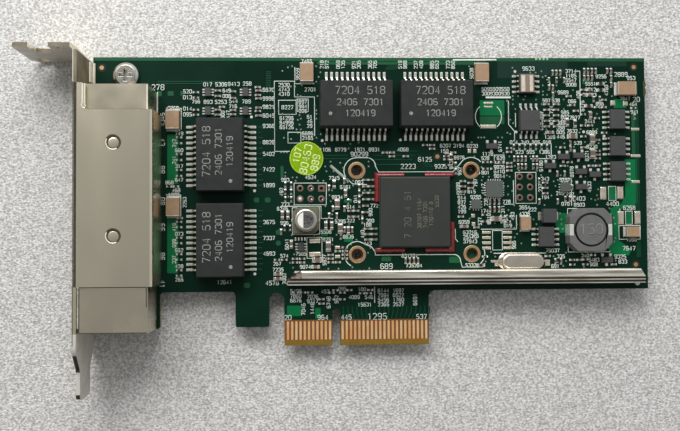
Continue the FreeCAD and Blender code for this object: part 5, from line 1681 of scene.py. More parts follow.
# --- bracket and jack ----------------------------------------------------------------------
@dataclass
class BracketAssembly:
    """Folded bracket and the screw that holds the board to it."""

    card: CardFrame
    edge_radius: float = 0.12
    screw_radius: float = 0.3
    dimples: Sequence[Point] = ((-50.0, 26.1), (-50.0, 47.0))
    blade_edge: float = -58.82
    blade_inside: float = -59.6
    cover_low: float = 4.4
    cover_high: float = 60.4
    ear_low: float = 67.9
    shield_low: float = 14.8
    shield_high: float = 54.4
    strip_edge: float = -56.35
    tongue_top: float = -0.4
    tongue_bright: Point = (-9.4, -4.6)
    ear_face: float = 68.2

    def build(self) -> None:
        """Makes the bracket and its screw, and adds what the CAD leaves out."""
        sketch = Sketch(self.card.merged("bracket"))
        sketch.soften(self.edge_radius)
        cuts = [((0, y, 0), (0, 1, 0)) for y in (self.cover_low, self.cover_high, self.ear_low)]
        cuts.append(((self.blade_inside, 0, 0), (1, 0, 0)))
        for place, normal in cuts:
            parts = [*sketch.bm.verts, *sketch.bm.edges, *sketch.bm.faces]
            bmesh.ops.bisect_plane(sketch.bm, geom=parts, plane_co=place, plane_no=normal,
                                   dist=1e-4)
        bracket = sketch.piece("folded_bracket", NICKEL_SHEET, "bracket_plate", ["bracket"])
        self.haze_and_shade(bracket.data)
        softened_piece(self.card, "cross_recess_screw", "bracket_screw", ZINC_STEEL, "screw_steel",
                       self.screw_radius, 3)
        self.bosses()
        self.folds()
        self.foot_fold()

    def bosses(self) -> None:
        """Adds the pressed ring, painted-shade groove and boss that stand in each of the cover's
        dimples.
        """
        top = self.card.box("bracket").high.z
        floor = top - 0.25
        metal, shade = Sketch(), Sketch()
        for x, y in self.dimples:
            # The groove ring round each boss is painted shade.
            shade.lathe([(0.9, floor - 0.02), (1.72, floor - 0.02), (1.72, floor + 0.16),
                         (0.9, floor + 0.02)], (x, y), 28)
            metal.lathe([(AXIS_GAP, floor - 0.02), (1.22, floor - 0.02), (1.18, floor + 0.12),
                         (1.0, floor + 0.17), (AXIS_GAP, floor + 0.17)], (x + 0.1, y - 0.12), 24)
        metal.piece("cover_bosses", NICKEL_SHEET, "bracket_plate")
        shade.piece("cover_grooves", FOLD_SHADOW, "bracket_plate")
        # An arc of painted highlight on the lower left of each dimple's rim.
        arcs = [arc(x, y, 1.62, 150, 300, 15) for x, y in self.dimples]
        lay_ribbons("cover_dimple_rims", arcs, floor + 0.2, 0.3, PAINTED_HIGHLIGHT, "bracket_plate")

    def folds(self) -> None:
        """Adds painted highlights on the edges and painted shade in the seams between the cover
        and the jack's top.
        """
        cover, shield = self.card.box("bracket"), self.card.box("jack_shield")
        low, high = self.shield_low, self.shield_high
        strip, blade = self.strip_edge, self.blade_edge
        # Painted highlights: bright ribbons along the blade's outer edge and the cover strip's
        # edges.
        outer = [[(blade - 0.06, self.cover_high + 0.2), (blade - 0.06, self.ear_low)]]
        lay_ribbons("bracket_bright_edge", outer, cover.high.z, 0.16, PAINTED_HIGHLIGHT, "bracket_plate")
        bright = [[(strip - 0.4, 60.2), (strip - 0.4, 55.9), (strip - 0.62, 55.3),
                   (strip - 0.4, 54.75), (strip + 0.2, 54.6)],
                  [(strip + 0.12, 60.2), (strip + 0.12, 55.4), (strip + 0.3, 54.95)]]
        lay_ribbons("cover_strip_edge", bright, cover.high.z + 0.02, 0.28, PAINTED_HIGHLIGHT,
                    "bracket_plate", 0.08)
        left, right = shield.low.x, shield.high.x
        level = shield.high.z + 0.015
        # Painted highlight along the shield's right edge.
        edges = [[(right - 0.2, high + 0.15), (right - 0.2, shield.high.y - 0.2)]]
        lay_ribbons("shield_bright_edge", edges, level, 0.3, PAINTED_HIGHLIGHT, "shield_plate", 0.06)
        # Painted shade: dark ribbons in the seams along the cover's edges and round the jack's
        # top.
        seams = [[(left + 0.2, low - 0.1), (right - 0.1, low - 0.1)],
                 [(right - 0.35, low - 0.3), (right - 0.35, low - 4.6)],
                 [(left + 0.15, low - 0.3), (left + 0.15, shield.low.y + 0.1)],
                 [(left + 0.2, shield.low.y + 0.12), (right - 0.3, shield.low.y + 0.12)],
                 [(strip + 0.4, high + 0.1), (right - 0.3, high + 0.1)]]
        lay_ribbons("shield_seams", seams, level, 0.2, FOLD_SHADOW, "shield_plate")
        # Painted shade: a dark line along the blade's outer edge.
        seam = [[(blade, 1.8), (blade, self.cover_high - 0.2)]]
        lay_ribbons("cover_blade_seam", seam, cover.high.z + 0.005, 0.15, FOLD_SHADOW,
                    "bracket_plate")

    def haze_and_shade(self, mesh: Mesh) -> None:
        """Gives the bracket's dark tongue edges, its hazed faces and its faces of painted shade
        their own finishes.

        Args:
            mesh: The bracket's mesh.
        """
        for finish in (DARK_EDGE_STEEL, HAZED_NICKEL, SHADED_NICKEL, FOLD_SHADOW):
            mesh.materials.append(finish.material())
        dark_edge, hazed, shaded, painted_seam_shade = range(1, 5)
        bright_low, bright_high = self.tongue_bright
        for face in mesh.polygons:
            place, normal = face.center / MM, face.normal
            at_ear = place.y > self.ear_low
            at_cover = self.cover_low < place.y < self.cover_high
            at_tongue = place.y < self.tongue_top and not bright_low < place.y < bright_high
            if at_tongue and normal.z > 0.35:
                face.material_index = dark_edge
            # Painted shade on the ear's upward rims.
            elif at_ear and place.x < self.blade_inside and normal.z > 0.5:
                face.material_index = shaded
            # Painted shade on the cover's left bevel.
            elif at_cover and normal.x < -0.3 and normal.z > 0.3:
                face.material_index = painted_seam_shade
            elif place.y > self.ear_face and normal.y < -0.5:
                face.material_index = hazed
            elif place.y < self.cover_low and (normal.x > 0.5 or normal.z > 0.35):
                face.material_index = hazed
            # Painted shade on the upright's inner face and top edge beside the ear.
            elif self.cover_high < place.y < self.ear_low and (normal.x > 0.3 or normal.z > 0.5):
                face.material_index = shaded

    def foot_fold(self) -> None:
        """Adds the fold where the bracket turns in to meet the board, made bright as a painted
        highlight.
        """
        fold = Sketch()
        rings = []
        for y in (62.6, 62.8, 67.2, 67.4):
            drop = 0.0 if 62.7 < y < 67.3 else 0.15
            profile = [(-58.0, 3.6), (-57.75, 3.5 - drop), (-57.5, 2.9 - drop),
                       (-57.4, 2.1 - drop), (-57.2, 1.9 - drop), (-57.0, 1.7 - drop),
                       (-56.8, 0.8 - drop), (-56.4, 0.3 - drop), (-56.4, 0.12), (-58.0, 0.12)]
            rings.append([Vector((x, y, z)) for x, z in profile])
        fold.loft(rings)
        fold.piece("bracket_foot_fold", PAINTED_HIGHLIGHT, "bracket_plate")


@dataclass
class NetworkJack:
    """Four-port jack: shield, housing, spring wires and light guides."""

    card: CardFrame

    def build(self) -> None:
        """Makes the jack's pieces."""
        softened_pieces(
            self.card,
            ("jack_shield_shell", "jack_shield", SHIELD_METAL, "shield_plate", 0.08),
            ("jack_insulator", "jack_housing", JACK_NYLON, "jack_plastic", 0.07, 1),
            ("jack_light_guides", "port_lights", LIGHT_GUIDE, "light_lens", 0.1),
            *((f"jack_spring_wires_{port}", f"port_wires_{port}", CONTACT_BRONZE, "contact_wire",
               0.08, 1) for port in range(1, 5)),
        )


# --- packages ------------------------------------------------------------------------------
@dataclass
class MouldedPackage:
    """A moulded body with bent leads and laser-marked numbers on top."""

    card: CardFrame
    name: str
    node: str
    leads: str
    finish: Finish
    slot: str
    edge_radius: float = 0.1
    marks: Sequence[tuple[str, float, float, float, Turn]] = ()
    mark_width: float = 0.12
    dot: Triple | None = None
    row: dict = field(default_factory=dict)

    def build(self) -> None:
        """Makes the body, the leads and the marks."""
        card = self.card
        softened_piece(card, self.name, self.node, self.finish, self.slot, self.edge_radius)
        LeadRow(self.name + "_leads", self.leads, [self.node], **self.row).build(card)
        paths = []
        for box in card.solids(self.node):
            for text, dx, dy, height, turn in self.marks:
                paths += number_paths(text, box.centre.x + dx, box.centre.y + dy, height, turn)
            if self.dot:
                dx, dy, radius = self.dot
                paths += [ring_path(box.centre.x + dx, box.centre.y + dy, radius * share, 12)
                          for share in (0.35, 0.8)]
        if paths:
            level = card.box(self.node).high.z + 0.005
            lay_ribbons(self.name + "_marks", paths, level, self.mark_width, LASER_MARK, self.slot)


@dataclass
class Controller:
    """Array package: solder balls, substrate, mould cap and red bond beads."""

    card: CardFrame
    ball_sides: int = 8
    ball_share: float = 0.56
    ball_neck: float = 0.72

    def build(self) -> None:
        """Makes the controller's pieces."""
        card = self.card
        balls = card.solids("controller_solder_balls")
        height = balls[0].size.z
        radius = balls[0].size.x * self.ball_share
        turns = [math.pi * i / 4 - math.pi / 2 for i in range(5)]
        profile = [(AXIS_GAP, 0.0)]
        neck = self.ball_neck
        profile += [(radius * (neck + (1 - neck) * math.cos(a)), height / 2 * (1 + math.sin(a)))
                    for a in turns]
        profile += [(AXIS_GAP, height)]
        ball = Sketch()
        ball.lathe(profile, sides=self.ball_sides)
        places = [Place(b.centre.x, b.centre.y, b.low.z) for b in balls]
        put_on_places("controller_balls", ball, places, SOLDER, "tinned_lead",
                      ["controller_solder_balls"])
        softened_pieces(
            card,
            ("controller_laminate", "controller_substrate", SUBSTRATE, "laminate", 0.05),
            ("controller_cap", "controller_mould_cap", CONTROLLER_EPOXY, "mould_compound", 0.12),
            ("controller_bond_beads", "controller_corner_beads", BOND_BEAD, "bond_bead", 0.3, 3),
        )
        cap = card.box("controller_mould_cap")
        x, y = cap.centre.x, cap.centre.y
        paths = number_paths("7 20 4 51", x - 1.9, y - 0.6, 1.5, Turn.UP)
        for text, dx, dy in (("38207 1164", 0.9, -0.4), ("2406 7301", 2.3, -0.6),
                             ("120419 8", 3.7, -0.5), ("5530", 5.1, 2.4)):
            paths += number_paths(text, x + dx, y + dy, 0.85, Turn.UP)
        lay_ribbons("controller_numbers", paths, cap.high.z + 0.005, 0.2, FAINT_MARK,
                    "mould_compound")


# --- tall parts ----------------------------------------------------------------------------
@dataclass
class TallParts:
    """Stiffener bar, power inductor, electrolytic can and crystal."""

    card: CardFrame

    def build(self) -> None:
        """Makes the tall pieces."""
        card = self.card
        self.bar()
        softened_piece(card, "inductor_ring", "inductor_ferrite", FERRITE, "ferrite", 0.14)
        softened_piece(card, "inductor_drum", "inductor_core", FERRITE, "ferrite", 0.1)
        softened_piece(card, "inductor_end_clips", "inductor_terminals", SOLDER, "tinned_lead",
                       0.08)
        self.core_number()
        self.winding()
        self.can()
        softened_piece(card, "crystal_case", "crystal_can", CRYSTAL_CASE, "crystal_case", 0.2, 3)
        softened_piece(card, "crystal_wires", "crystal_leads", TINNED_COPPER, "tinned_lead", 0.1)

    def core_number(self) -> None:
        """Engraves the plain number on the inductor's core."""
        box = self.card.box("inductor_core")
        paths = number_paths("150", box.centre.x, box.centre.y + 0.1, 2.3)
        lay_ribbons("inductor_number", paths, box.high.z + 0.005, 0.36, FERRITE_MARK, "ferrite")
        # A black ring in the gap round the core: varnish, and painted shade of the gap.
        gap = [ring_path(box.centre.x, box.centre.y, box.size.x / 2 + 0.12, 48)]
        level = self.card.box("inductor_ferrite").high.z + 0.01
        lay_ribbons("inductor_gap", gap, level, 0.42, VARNISH_SHADOW, "ferrite")

    def bar_length(self, section: Sequence[Point], x0: float, x1: float, slope: float) -> Sketch:
        """Draws a length of the bar's upper part, with a slanting cut at its outer end.

        Args:
            section: Closed section of (y, z) points, the first at the upper edge.
            x0: Outer end, where the cut starts at the lower edge of the section.
            x1: Inner end, square.
            slope: How far the cut runs along X for each millimetre along Y; 0 leaves it square.

        Returns:
            The sketch.
        """
        sketch = Sketch()
        sketch.loft([[Vector((x, y, z)) for y, z in section] for x in (x0, x1)])
        if slope:
            side = -1 if x0 < x1 else 1
            bm = sketch.bm
            bmesh.ops.bisect_plane(bm, geom=bm.verts[:] + bm.edges[:] + bm.faces[:],
                                   clear_outer=True, plane_co=(x0, min(y for y, _ in section), 0),
                                   plane_no=(side, slope, 0))
            bmesh.ops.holes_fill(bm, edges=[e for e in bm.edges if e.is_boundary])
            bmesh.ops.recalc_face_normals(bm, faces=bm.faces)
        return sketch

    def bar(self, heel: float = 1.5, scuffed: float = 3.6) -> None:
        """Makes the rolled bar, the lip folded along its heel and the solder at its end."""
        box = self.card.box("stiffener_bar")
        (x0, y0, z0), (x1, y1, z1) = box.low, box.high
        y2 = y0 + heel
        section = [(y1, z0), (y1, z1 - 0.36), (y1 - 0.08, z1 - 0.16), (y1 - 0.3, z1 - 0.05),
                   (y1 - 0.5, z1 - 0.02), (y1 - 0.9, z1 - 0.04), (y2 + 0.5, z1 - 0.12),
                   (y2 + 0.28, z1 - 0.01), (y2 + 0.1, z1 - 0.03), (y2, z1 - 0.14), (y2, z0)]
        end = self.bar_length(section, x0 + 0.7, x0 + scuffed, 0.68)
        end.piece("stiffener_scuffed_end", SCUFFED_TIN, "bar_tin", smooth_degrees=42)
        bar = self.bar_length(section, x1, x0 + scuffed, 0.6)
        outer, inner = (y0 + 0.06, y0 + 1.1), (y0 + 0.3, y0 + 0.8)
        lip = []
        for (low, high), way in ((outer, 1), (inner, -1)):
            radius, middle = (high - low) / 2, (high + low) / 2
            bend = arc(x0 + 0.52, middle, radius, 90, 270, 18)
            lip += ([(x1, high)] + bend + [(x1, low)])[::way]
        bar.prism(lip, z0, z1 - 0.22)
        bar.piece("tinned_stiffener", TINNED_BAR, "bar_tin", ["stiffener_bar"], smooth_degrees=42)
        # A dark block of painted shade on the groove's floor.
        groove = Sketch()
        groove.block((x0 + 0.3, y0 + 0.2, z0), (x1 - 0.05, y2 + 0.1, z1 - 0.75))
        groove.piece("stiffener_groove", GROOVE_SHADE, "bar_tin")
        top = self.card.top
        drop = Sketch()
        profile = [(AXIS_GAP, top - 0.01), (0.7, top - 0.01), (0.62, top + 0.24),
                   (0.36, top + 0.5), (AXIS_GAP, top + 0.56)]
        drop.lathe(profile, (x1 - 0.5, y0 - 0.1), 16)
        drop.piece("stiffener_solder_drop", SOLDER, "bar_tin")

    def winding(self, turns: int = 5) -> None:
        """Makes the coil as a stack of round turns."""
        box = self.card.box("inductor_winding")
        outer = box.size.x / 2
        pitch = box.size.z / turns
        profile = [(outer - pitch, box.low.z)]
        for i in range(turns):
            z = box.low.z + (i + 0.5) * pitch
            profile += arc(outer - pitch / 2, z, pitch / 2, -60, 60, 40)
        profile.append((outer - pitch, box.high.z))
        coil = Sketch()
        coil.lathe(profile, (box.centre.x, box.centre.y), 40)
        coil.piece("inductor_coil", ENAMELLED_COPPER, "copper_wire", ["inductor_winding"],
                   smooth_degrees=80)

    def can(self) -> None:
        """Makes the electrolytic can with its groove, base, leads and ink."""
        card = self.card
        box = card.box("electrolytic_can")
        radius = box.size.x / 2
        z0, z1 = box.low.z, box.high.z
        profile = [(AXIS_GAP, z0), (radius, z0)]
        profile += [(radius - inset, z0 + rise) for inset, rise in (
            (0.0, 0.45), (0.1, 0.6), (0.22, 0.75), (0.1, 0.9), (0.0, 1.05))]
        profile += [(radius - inset, z1 - drop) for inset, drop in (
            (0.0, 0.5), (0.06, 0.25), (0.2, 0.08), (0.45, 0.0), (0.6, 0.03), (0.75, 0.06))]
        profile.append((AXIS_GAP, z1 - 0.06))
        can = Sketch()
        can.lathe(profile, (box.centre.x, box.centre.y), 48)
        can.piece("can_shell", CAN_ALUMINIUM, "can_aluminium", ["electrolytic_can"])
        level = z1 - 0.05
        x, y = box.centre.x, box.centre.y
        for name, start, end, finish in (("can_top_ink", -108, 108, CAN_TOP_GREY),
                                         ("can_top_crescent", 108, 252, CAN_CRESCENT_WHITE)):
            cap = Sketch()
            cap.prism(arc(x, y, radius - 0.75, start, end), level - 0.03, level)
            cap.piece(name, finish, "can_aluminium", smooth_degrees=10)
        rows = (("110", -0.1), ("475", 0.62), ("16", 1.3))
        paths = [p for text, dx in rows for p in number_paths(text, x + dx, y, 0.6, Turn.UP, 1.5)]
        lay_ribbons("can_numbers", paths, level + 0.01, 0.17, CAN_NUMBER_INK, "can_aluminium")
        base = Sketch(card.merged("electrolytic_base"))
        bmesh.ops.scale(base.bm, vec=(1.1, 1.1, 1.0), verts=base.bm.verts,
                        space=Matrix.Translation((-x, -y, 0)))
        base.soften(0.12)
        base.piece("can_base", CAN_BASE_FINISH, "can_base_plastic", ["electrolytic_base"])
        softened_piece(card, "can_tabs", "electrolytic_leads", TINNED_COPPER, "tinned_lead", 0.05)


# --- chips ---------------------------------------------------------------------------------
class ChipKind(Enum):
    """What a two-ended chip is made of."""

    LARGE_CAPACITOR = "large capacitor"
    CAPACITOR = "capacitor"
    RESISTOR = "resistor"


CHIP_BODIES = {ChipKind.LARGE_CAPACITOR: (TAN_CERAMIC, "capacitor_ceramic", 0.06),
               ChipKind.CAPACITOR: (BROWN_CERAMIC, "capacitor_ceramic", 0.26),
               ChipKind.RESISTOR: (RESISTOR_FILM, "resistor_body", 0.26)}


@dataclass
class ChipSet:
    """All the two-ended chips of one size: bodies, tinned ends and solder."""

    card: CardFrame
    name: str
    kind: ChipKind
    node: str = ""
    extra: Sequence[Place] = ()
    extra_size: Triple = (1.0, 0.5, 0.5)
    body_inset: float = 0.025
    large_bulge: float = 0.005
    broad: float = 1.5

    def build(self) -> None:
        """Makes bodies with ends and solder, in place of the CAD blocks where there are any."""
        places = list(self.extra)
        length, width, height = self.extra_size
        if self.node:
            chips = self.card.solids(self.node)
            for chip in chips:
                turn = 90 if chip.size.y > chip.size.x else 0
                places.append(Place(chip.centre.x, chip.centre.y, self.card.top, turn))
            first = chips[0].size
            length, width, height = max(first.x, first.y), min(first.x, first.y), first.z
        self.body(places, length, width, height)
        self.ends(places, length, width, height)
        self.solder(places, length, width, height)

    def body(self, places: Sequence[Place], length: float, width: float, height: float) -> None:
        """Adds the ceramic between the ends."""
        finish, slot, end_share = CHIP_BODIES[self.kind]
        half = length / 2 - end_share * length * 0.8
        large = self.kind is ChipKind.LARGE_CAPACITOR
        inset = -self.large_bulge if large else self.body_inset
        shape = Sketch()
        shape.block((-half, -width / 2 + inset, 0.03), (half, width / 2 - inset, height - inset))
        if width > self.broad:
            shape.soften(0.07, 2)
        stands_for = [self.node] if self.node else []
        put_on_places(self.name + "_bodies", shape, places, finish, slot, stands_for)

    def ends(self, places: Sequence[Place], length: float, width: float, height: float) -> None:
        """Adds the tinned ends, their edges rounded."""
        end = CHIP_BODIES[self.kind][2] * length
        shape = Sketch()
        for side in (-1, 1):
            x0, x1 = sorted((side * length / 2, side * (length / 2 - end)))
            shape.block((x0, -width / 2, 0.02), (x1, width / 2, height))
        shape.soften(min(0.12, width * 0.12), 2 if width > 0.7 else 1)
        large = self.kind is ChipKind.LARGE_CAPACITOR
        finish = FIRED_END if large else TINNED_COPPER
        put_on_places(self.name + "_ends", shape, places, finish, "tinned_lead")

    def solder(self, places: Sequence[Place], length: float, width: float, height: float) -> None:
        """Adds the fillets that climb the ends from their pads."""
        reach = min(0.5, 0.22 + height * 0.1)
        climb = min(height * 0.6, 0.7)
        half = width / 2 + 0.04
        shape = Sketch()
        for side in (-1, 1):
            rings = []
            for share, level in ((0.0, climb), (0.35, climb * 0.45), (1.0, 0.05)):
                x = side * (length / 2 - 0.02 + reach * share)
                narrow = half - 0.05 * (1 - share)
                upper = narrow * 0.85
                section = ((-narrow, 0), (narrow, 0), (upper, level), (-upper, level))
                rings.append([Vector((x, y, z)) for y, z in section])
            shape.loft(rings)
        put_on_places(self.name + "_solder", shape, places, SOLDER, "tinned_lead")


@dataclass
class DenseGround:
    """The closely packed ground: small chips and vias in rows where there is room."""

    card: CardFrame
    layout: Layout
    ground: Point = (1.34, 0.62)
    gap: Point = (0.26, 0.24)
    chip_size: Triple = (0.95, 0.5, 0.45)
    via_room: float = 0.3
    crowded: Sequence[Point] = ((32.0, 68.0), (-13.0, 8.6))

    def build(self) -> None:
        """Fills each patch of ground."""
        chips: dict[ChipKind, list[Place]] = {ChipKind.CAPACITOR: [], ChipKind.RESISTOR: []}
        draw = draws(0, 29, 17, 1009)
        for x0, x1, y0, y1, upright in (
            (54.2, 66.2, 42.2, 60.0, False), (42.8, 52.0, 41.6, 47.2, True),
            (35.2, 43.0, 40.2, 47.4, False), (29.2, 34.8, 24.0, 40.4, False),
            (48.8, 58.6, 33.2, 41.6, True), (34.6, 43.4, 28.0, 34.6, True),
            (-2.0, 4.4, 25.0, 40.0, True), (-13.6, -10.2, 26.2, 39.6, True),
            (-10.6, 3.0, 18.4, 24.6, False), (4.6, 8.8, 24.6, 39.6, False),
            (56.2, 68.0, 18.2, 21.6, False), (-11.0, 9.0, 9.4, 13.6, False),
            (51.5, 59.0, 59.0, 66.2, True), (60.2, 72.4, 58.2, 66.6, True),
            (20.8, 34.4, 44.6, 48.2, False), (-37.9, -34.4, 18.0, 52.4, False),
            (-33.0, -17.6, 54.6, 62.2, False), (35.0, 57.0, 18.2, 21.4, False),
            (66.2, 72.4, 44.6, 57.0, True), (9.4, 17.8, 44.6, 46.4, False),
        ):
            length, width = self.ground[::-1] if upright else self.ground
            columns = int((x1 - x0) / (length + self.gap[0]))
            rows = int((y1 - y0) / (width + self.gap[1]))
            for i in range(columns):
                for j in range(rows):
                    drawn = next(draw)
                    x = x0 + (i + 0.5) * (x1 - x0) / columns
                    y = y0 + (j + 0.5) * (y1 - y0) / rows
                    if drawn % 5 > 2:
                        continue
                    ground = (x - length / 2, x + length / 2, y - width / 2, y + width / 2)
                    if self.layout.free(*ground):
                        self.layout.take(*ground)
                        kind = ChipKind.CAPACITOR if drawn % 3 else ChipKind.RESISTOR
                        chips[kind].append(Place(x, y, self.card.top, 90 if upright else 0))
        for kind, places in chips.items():
            name = f"dense_{kind.value}s"
            ChipSet(self.card, name, kind, "", places, self.chip_size).build()
        self.vias()

    def vias(self) -> None:
        """Adds the bare ends of plated vias where the board is crowded."""
        places = []
        room = self.via_room
        for x, y, drawn in UPPER_VIAS.points():
            crowded = any(low < x < high for low, high in self.crowded)
            ground = (x - room, x + room, y - room, y + room)
            if crowded and drawn % 7 < 3 and self.layout.free(*ground):
                self.layout.take(*ground)
                places.append(Place(x, y, self.card.top))
        place_vias("bare_vias", places, ((0.21, 0.0), (0.21, 0.03), (0.13, 0.06)))


@dataclass
class SolderSide:
    """The back of the board: planes, traces, via ends and frames."""

    card: CardFrame
    header_holes: Sequence[Point]
    via_limit: float = 72.0

    def build(self) -> None:
        """Makes the back's pieces."""
        under = self.card.under
        planes = Sketch()
        shapes = [[(-38.0, 64.0), (-38.0, 22.0), (-24.0, 22.0), (-20.0, 26.0), (-20.0, 64.0)],
                  [(-14.0, 64.0), (-14.0, 46.0), (6.0, 46.0), (10.0, 50.0), (10.0, 64.0)],
                  [(34.0, 64.0), (34.0, 52.0), (44.0, 46.0), (56.0, 46.0), (56.0, 64.0)],
                  rounded_rectangle(58.0, 72.6, 20.5, 64.0, 0.6),
                  rounded_rectangle(30.0, 52.0, 19.5, 27.5, 0.6)]
        for outline in shapes:
            planes.prism(outline, under - 0.012, under + 0.01)
        planes.piece("solder_side_planes", MASK_ON_PLANE, "board", smooth_degrees=10)
        runs = []
        for i in (0, 1, 2, 3, 5, 6, 7, 8, 9, 10):
            x = -10.4 + i * 3.1
            runs.append([(x, 3.2), (x, 9.0 + i % 3), (x + 3.0, 12.0 + i % 3), (x + 3.0, 30.0),
                         (x * 0.5 + 12.0, 36.0), (x * 0.5 + 12.0, 40.0 + i % 5)])
        for i in range(9):
            y = 30.0 + i * 3.4
            runs.append([(-41.0, y), (-24.0 - i * 0.4, y), (-21.0, y + 1.2), (-4.0 - i, y + 1.2),
                         (-1.0 - i, y - 1.0), (8.0, y - 1.0)])
            runs.append([(28.0, y - 2.0), (40.0 + i, y - 2.0), (43.0 + i, y), (66.0, y)])
        lay_ribbons("solder_side_traces", runs, under - 0.006, 0.22, MASK_ON_TRACE, "board")
        frames = []
        for group in (self.header_holes[:6], self.header_holes[6:]):
            across = sorted(x for x, _ in group)
            along = sorted(y for _, y in group)
            frames.append(rectangle_path(across[0] - 1.3, across[-1] + 1.3, along[0] - 1.3,
                                         along[-1] + 1.3))
        frames += [rectangle_path(14.0, 27.0, 30.6, 43.4), ring_path(-36.0, 60.0, 1.6),
                   ring_path(60.0, 30.0, 1.6)]
        lay_ribbons("solder_side_legend", frames, under - 0.02, 0.2, LEGEND_INK, "board")
        places = [Place(x, y, under) for x, y, drawn in LOWER_VIAS.points()
                  if drawn % 5 < 2 and x < self.via_limit]
        place_vias("solder_side_vias", places, ((0.13, -0.06), (0.22, -0.03), (0.22, 0.01)))


@dataclass
class SmallParts:
    """Transistors, arrays, leadless chips, the diode, the foil label and the round sticker."""

    card: CardFrame

    def build(self) -> None:
        """Makes the small pieces."""
        card = self.card
        softened_piece(card, "transistor_bodies", "transistors", CHIP_EPOXY, "mould_compound",
                       0.06)
        LeadRow("transistor_pins", "transistor_leads", ["transistors"], thickness=0.14,
                shoulder=0.15, foot=0.45, bend=0.06, solder_beyond=0.25, solder_side=0.14,
                solder_height=0.2).build(card)
        softened_piece(card, "array_bodies", "protection_arrays", CHIP_EPOXY, "mould_compound",
                       0.05)
        LeadRow("array_pins", "protection_array_leads", ["protection_arrays"], thickness=0.12,
                shoulder=0.3, foot=0.6, bend=0.05, solder_beyond=0.22, solder_side=0.06,
                solder_height=0.14).build(card)
        softened_piece(card, "leadless_bodies", "flat_chips", LEADLESS_EPOXY, "mould_compound",
                       0.06)
        self.leadless_pads()
        softened_piece(card, "diode_body", "power_diode", CHIP_EPOXY, "mould_compound", 0.1)
        softened_piece(card, "diode_tabs", "power_diode_tabs", TINNED_COPPER, "tinned_lead", 0.06)
        self.foil()
        self.sticker()

    def leadless_pads(self) -> None:
        """Adds the solder ends that show round each leadless chip."""
        places = []
        for chip in self.card.solids("flat_chips"):
            side = chip.size.x
            count = int(side / 0.65)
            for i in range(count):
                along = (i - (count - 1) / 2) * side * 0.86 / count
                out = side / 2 + 0.16
                x, y, top = chip.centre.x, chip.centre.y, self.card.top
                places += [Place(x + along, y + out, top, 90), Place(x + along, y - out, top, 90),
                           Place(x + out, y + along, top), Place(x - out, y + along, top)]
        pad = Sketch()
        pad.block((-0.24, -0.13, 0), (0.24, 0.13, 0.12))
        pad.soften(0.04, 1)
        put_on_places("leadless_pads", pad, places, SOLDER, "tinned_lead")

    def foil(self, waves: int = 28) -> None:
        """Makes the foil label with its two long creases, each with a strip of painted highlight.
        """
        box = self.card.box("foil_label")
        step = box.size.x / waves
        upper = []
        for i in range(waves + 1):
            share = i / waves
            lift = 0.05 * math.exp(-((share - 0.3) / 0.16) ** 2)
            lift += 0.04 * math.exp(-((share - 0.74) / 0.13) ** 2)
            upper.append((box.low.x + i * step, box.low.z + 0.04 + lift))
        outline = upper + [(x, box.low.z) for x, _ in reversed(upper)]
        sheet = Sketch()
        sheet.loft([[Vector((x, y, z)) for x, z in outline] for y in (box.low.y, box.high.y)])
        sheet.piece("creased_foil", FOIL, "foil", ["foil_label"])
        # Painted highlights: raised bright strips along the two creases.
        creases = Sketch()
        level = box.high.z + 0.03
        for middle, wide in ((-0.95, 0.95), (1.0, 0.8)):
            x = box.centre.x + middle
            steps = ((-0.12, wide / 2), (-0.03, wide / 2), (0.0, wide / 2 - 0.12))
            y0, y1 = box.low.y + 0.12, box.high.y - 0.2
            creases.stack((level + dz, rounded_rectangle(x - half, x + half, y0, y1, 0.12, 2))
                          for dz, half in steps)
        creases.piece("foil_creases", FOIL_HIGHLIGHT, "foil")

    def sticker(self, lean: float = -12.0) -> None:
        """Makes the round sticker, its leaning numbers and a ring of painted highlight round its
        rim.
        """
        card = self.card
        box = card.box("inspection_sticker")
        x, y = box.centre.x, box.centre.y
        outer = box.size.x / 2
        disc = Sketch()
        z0, z1 = box.low.z, box.high.z
        profile = [(AXIS_GAP, z0), (outer, z0), (outer, z1 - 0.02), (outer - 0.05, z1),
                   (AXIS_GAP, z1)]
        disc.lathe(profile, (x, y), 48)
        disc.piece("round_sticker", STICKER_PAPER, "sticker_paper", ["inspection_sticker"])
        cos, sin = math.cos(math.radians(lean)), math.sin(math.radians(lean))
        paths = []
        for text, dx, dy, height in (("107", -2.3, 0.3, 1.5), ("80463", -0.1, -0.2, 1.7),
                                     ("889", 2.3, -0.6, 1.6)):
            for path in number_paths(text, dx, dy, height, Turn.UP):
                paths.append([(x + u * cos - v * sin, y + u * sin + v * cos) for u, v in path])
        lay_ribbons("sticker_numbers", paths, z1 + 0.005, 0.3, STICKER_INK, "sticker_paper")
        # A ring of painted highlight just inside the rim.
        rim = [ring_path(x, y, outer - 0.14, 44)]
        lay_ribbons("sticker_rim", rim, z1 + 0.004, 0.2, STICKER_RIM_HIGHLIGHT, "sticker_paper")


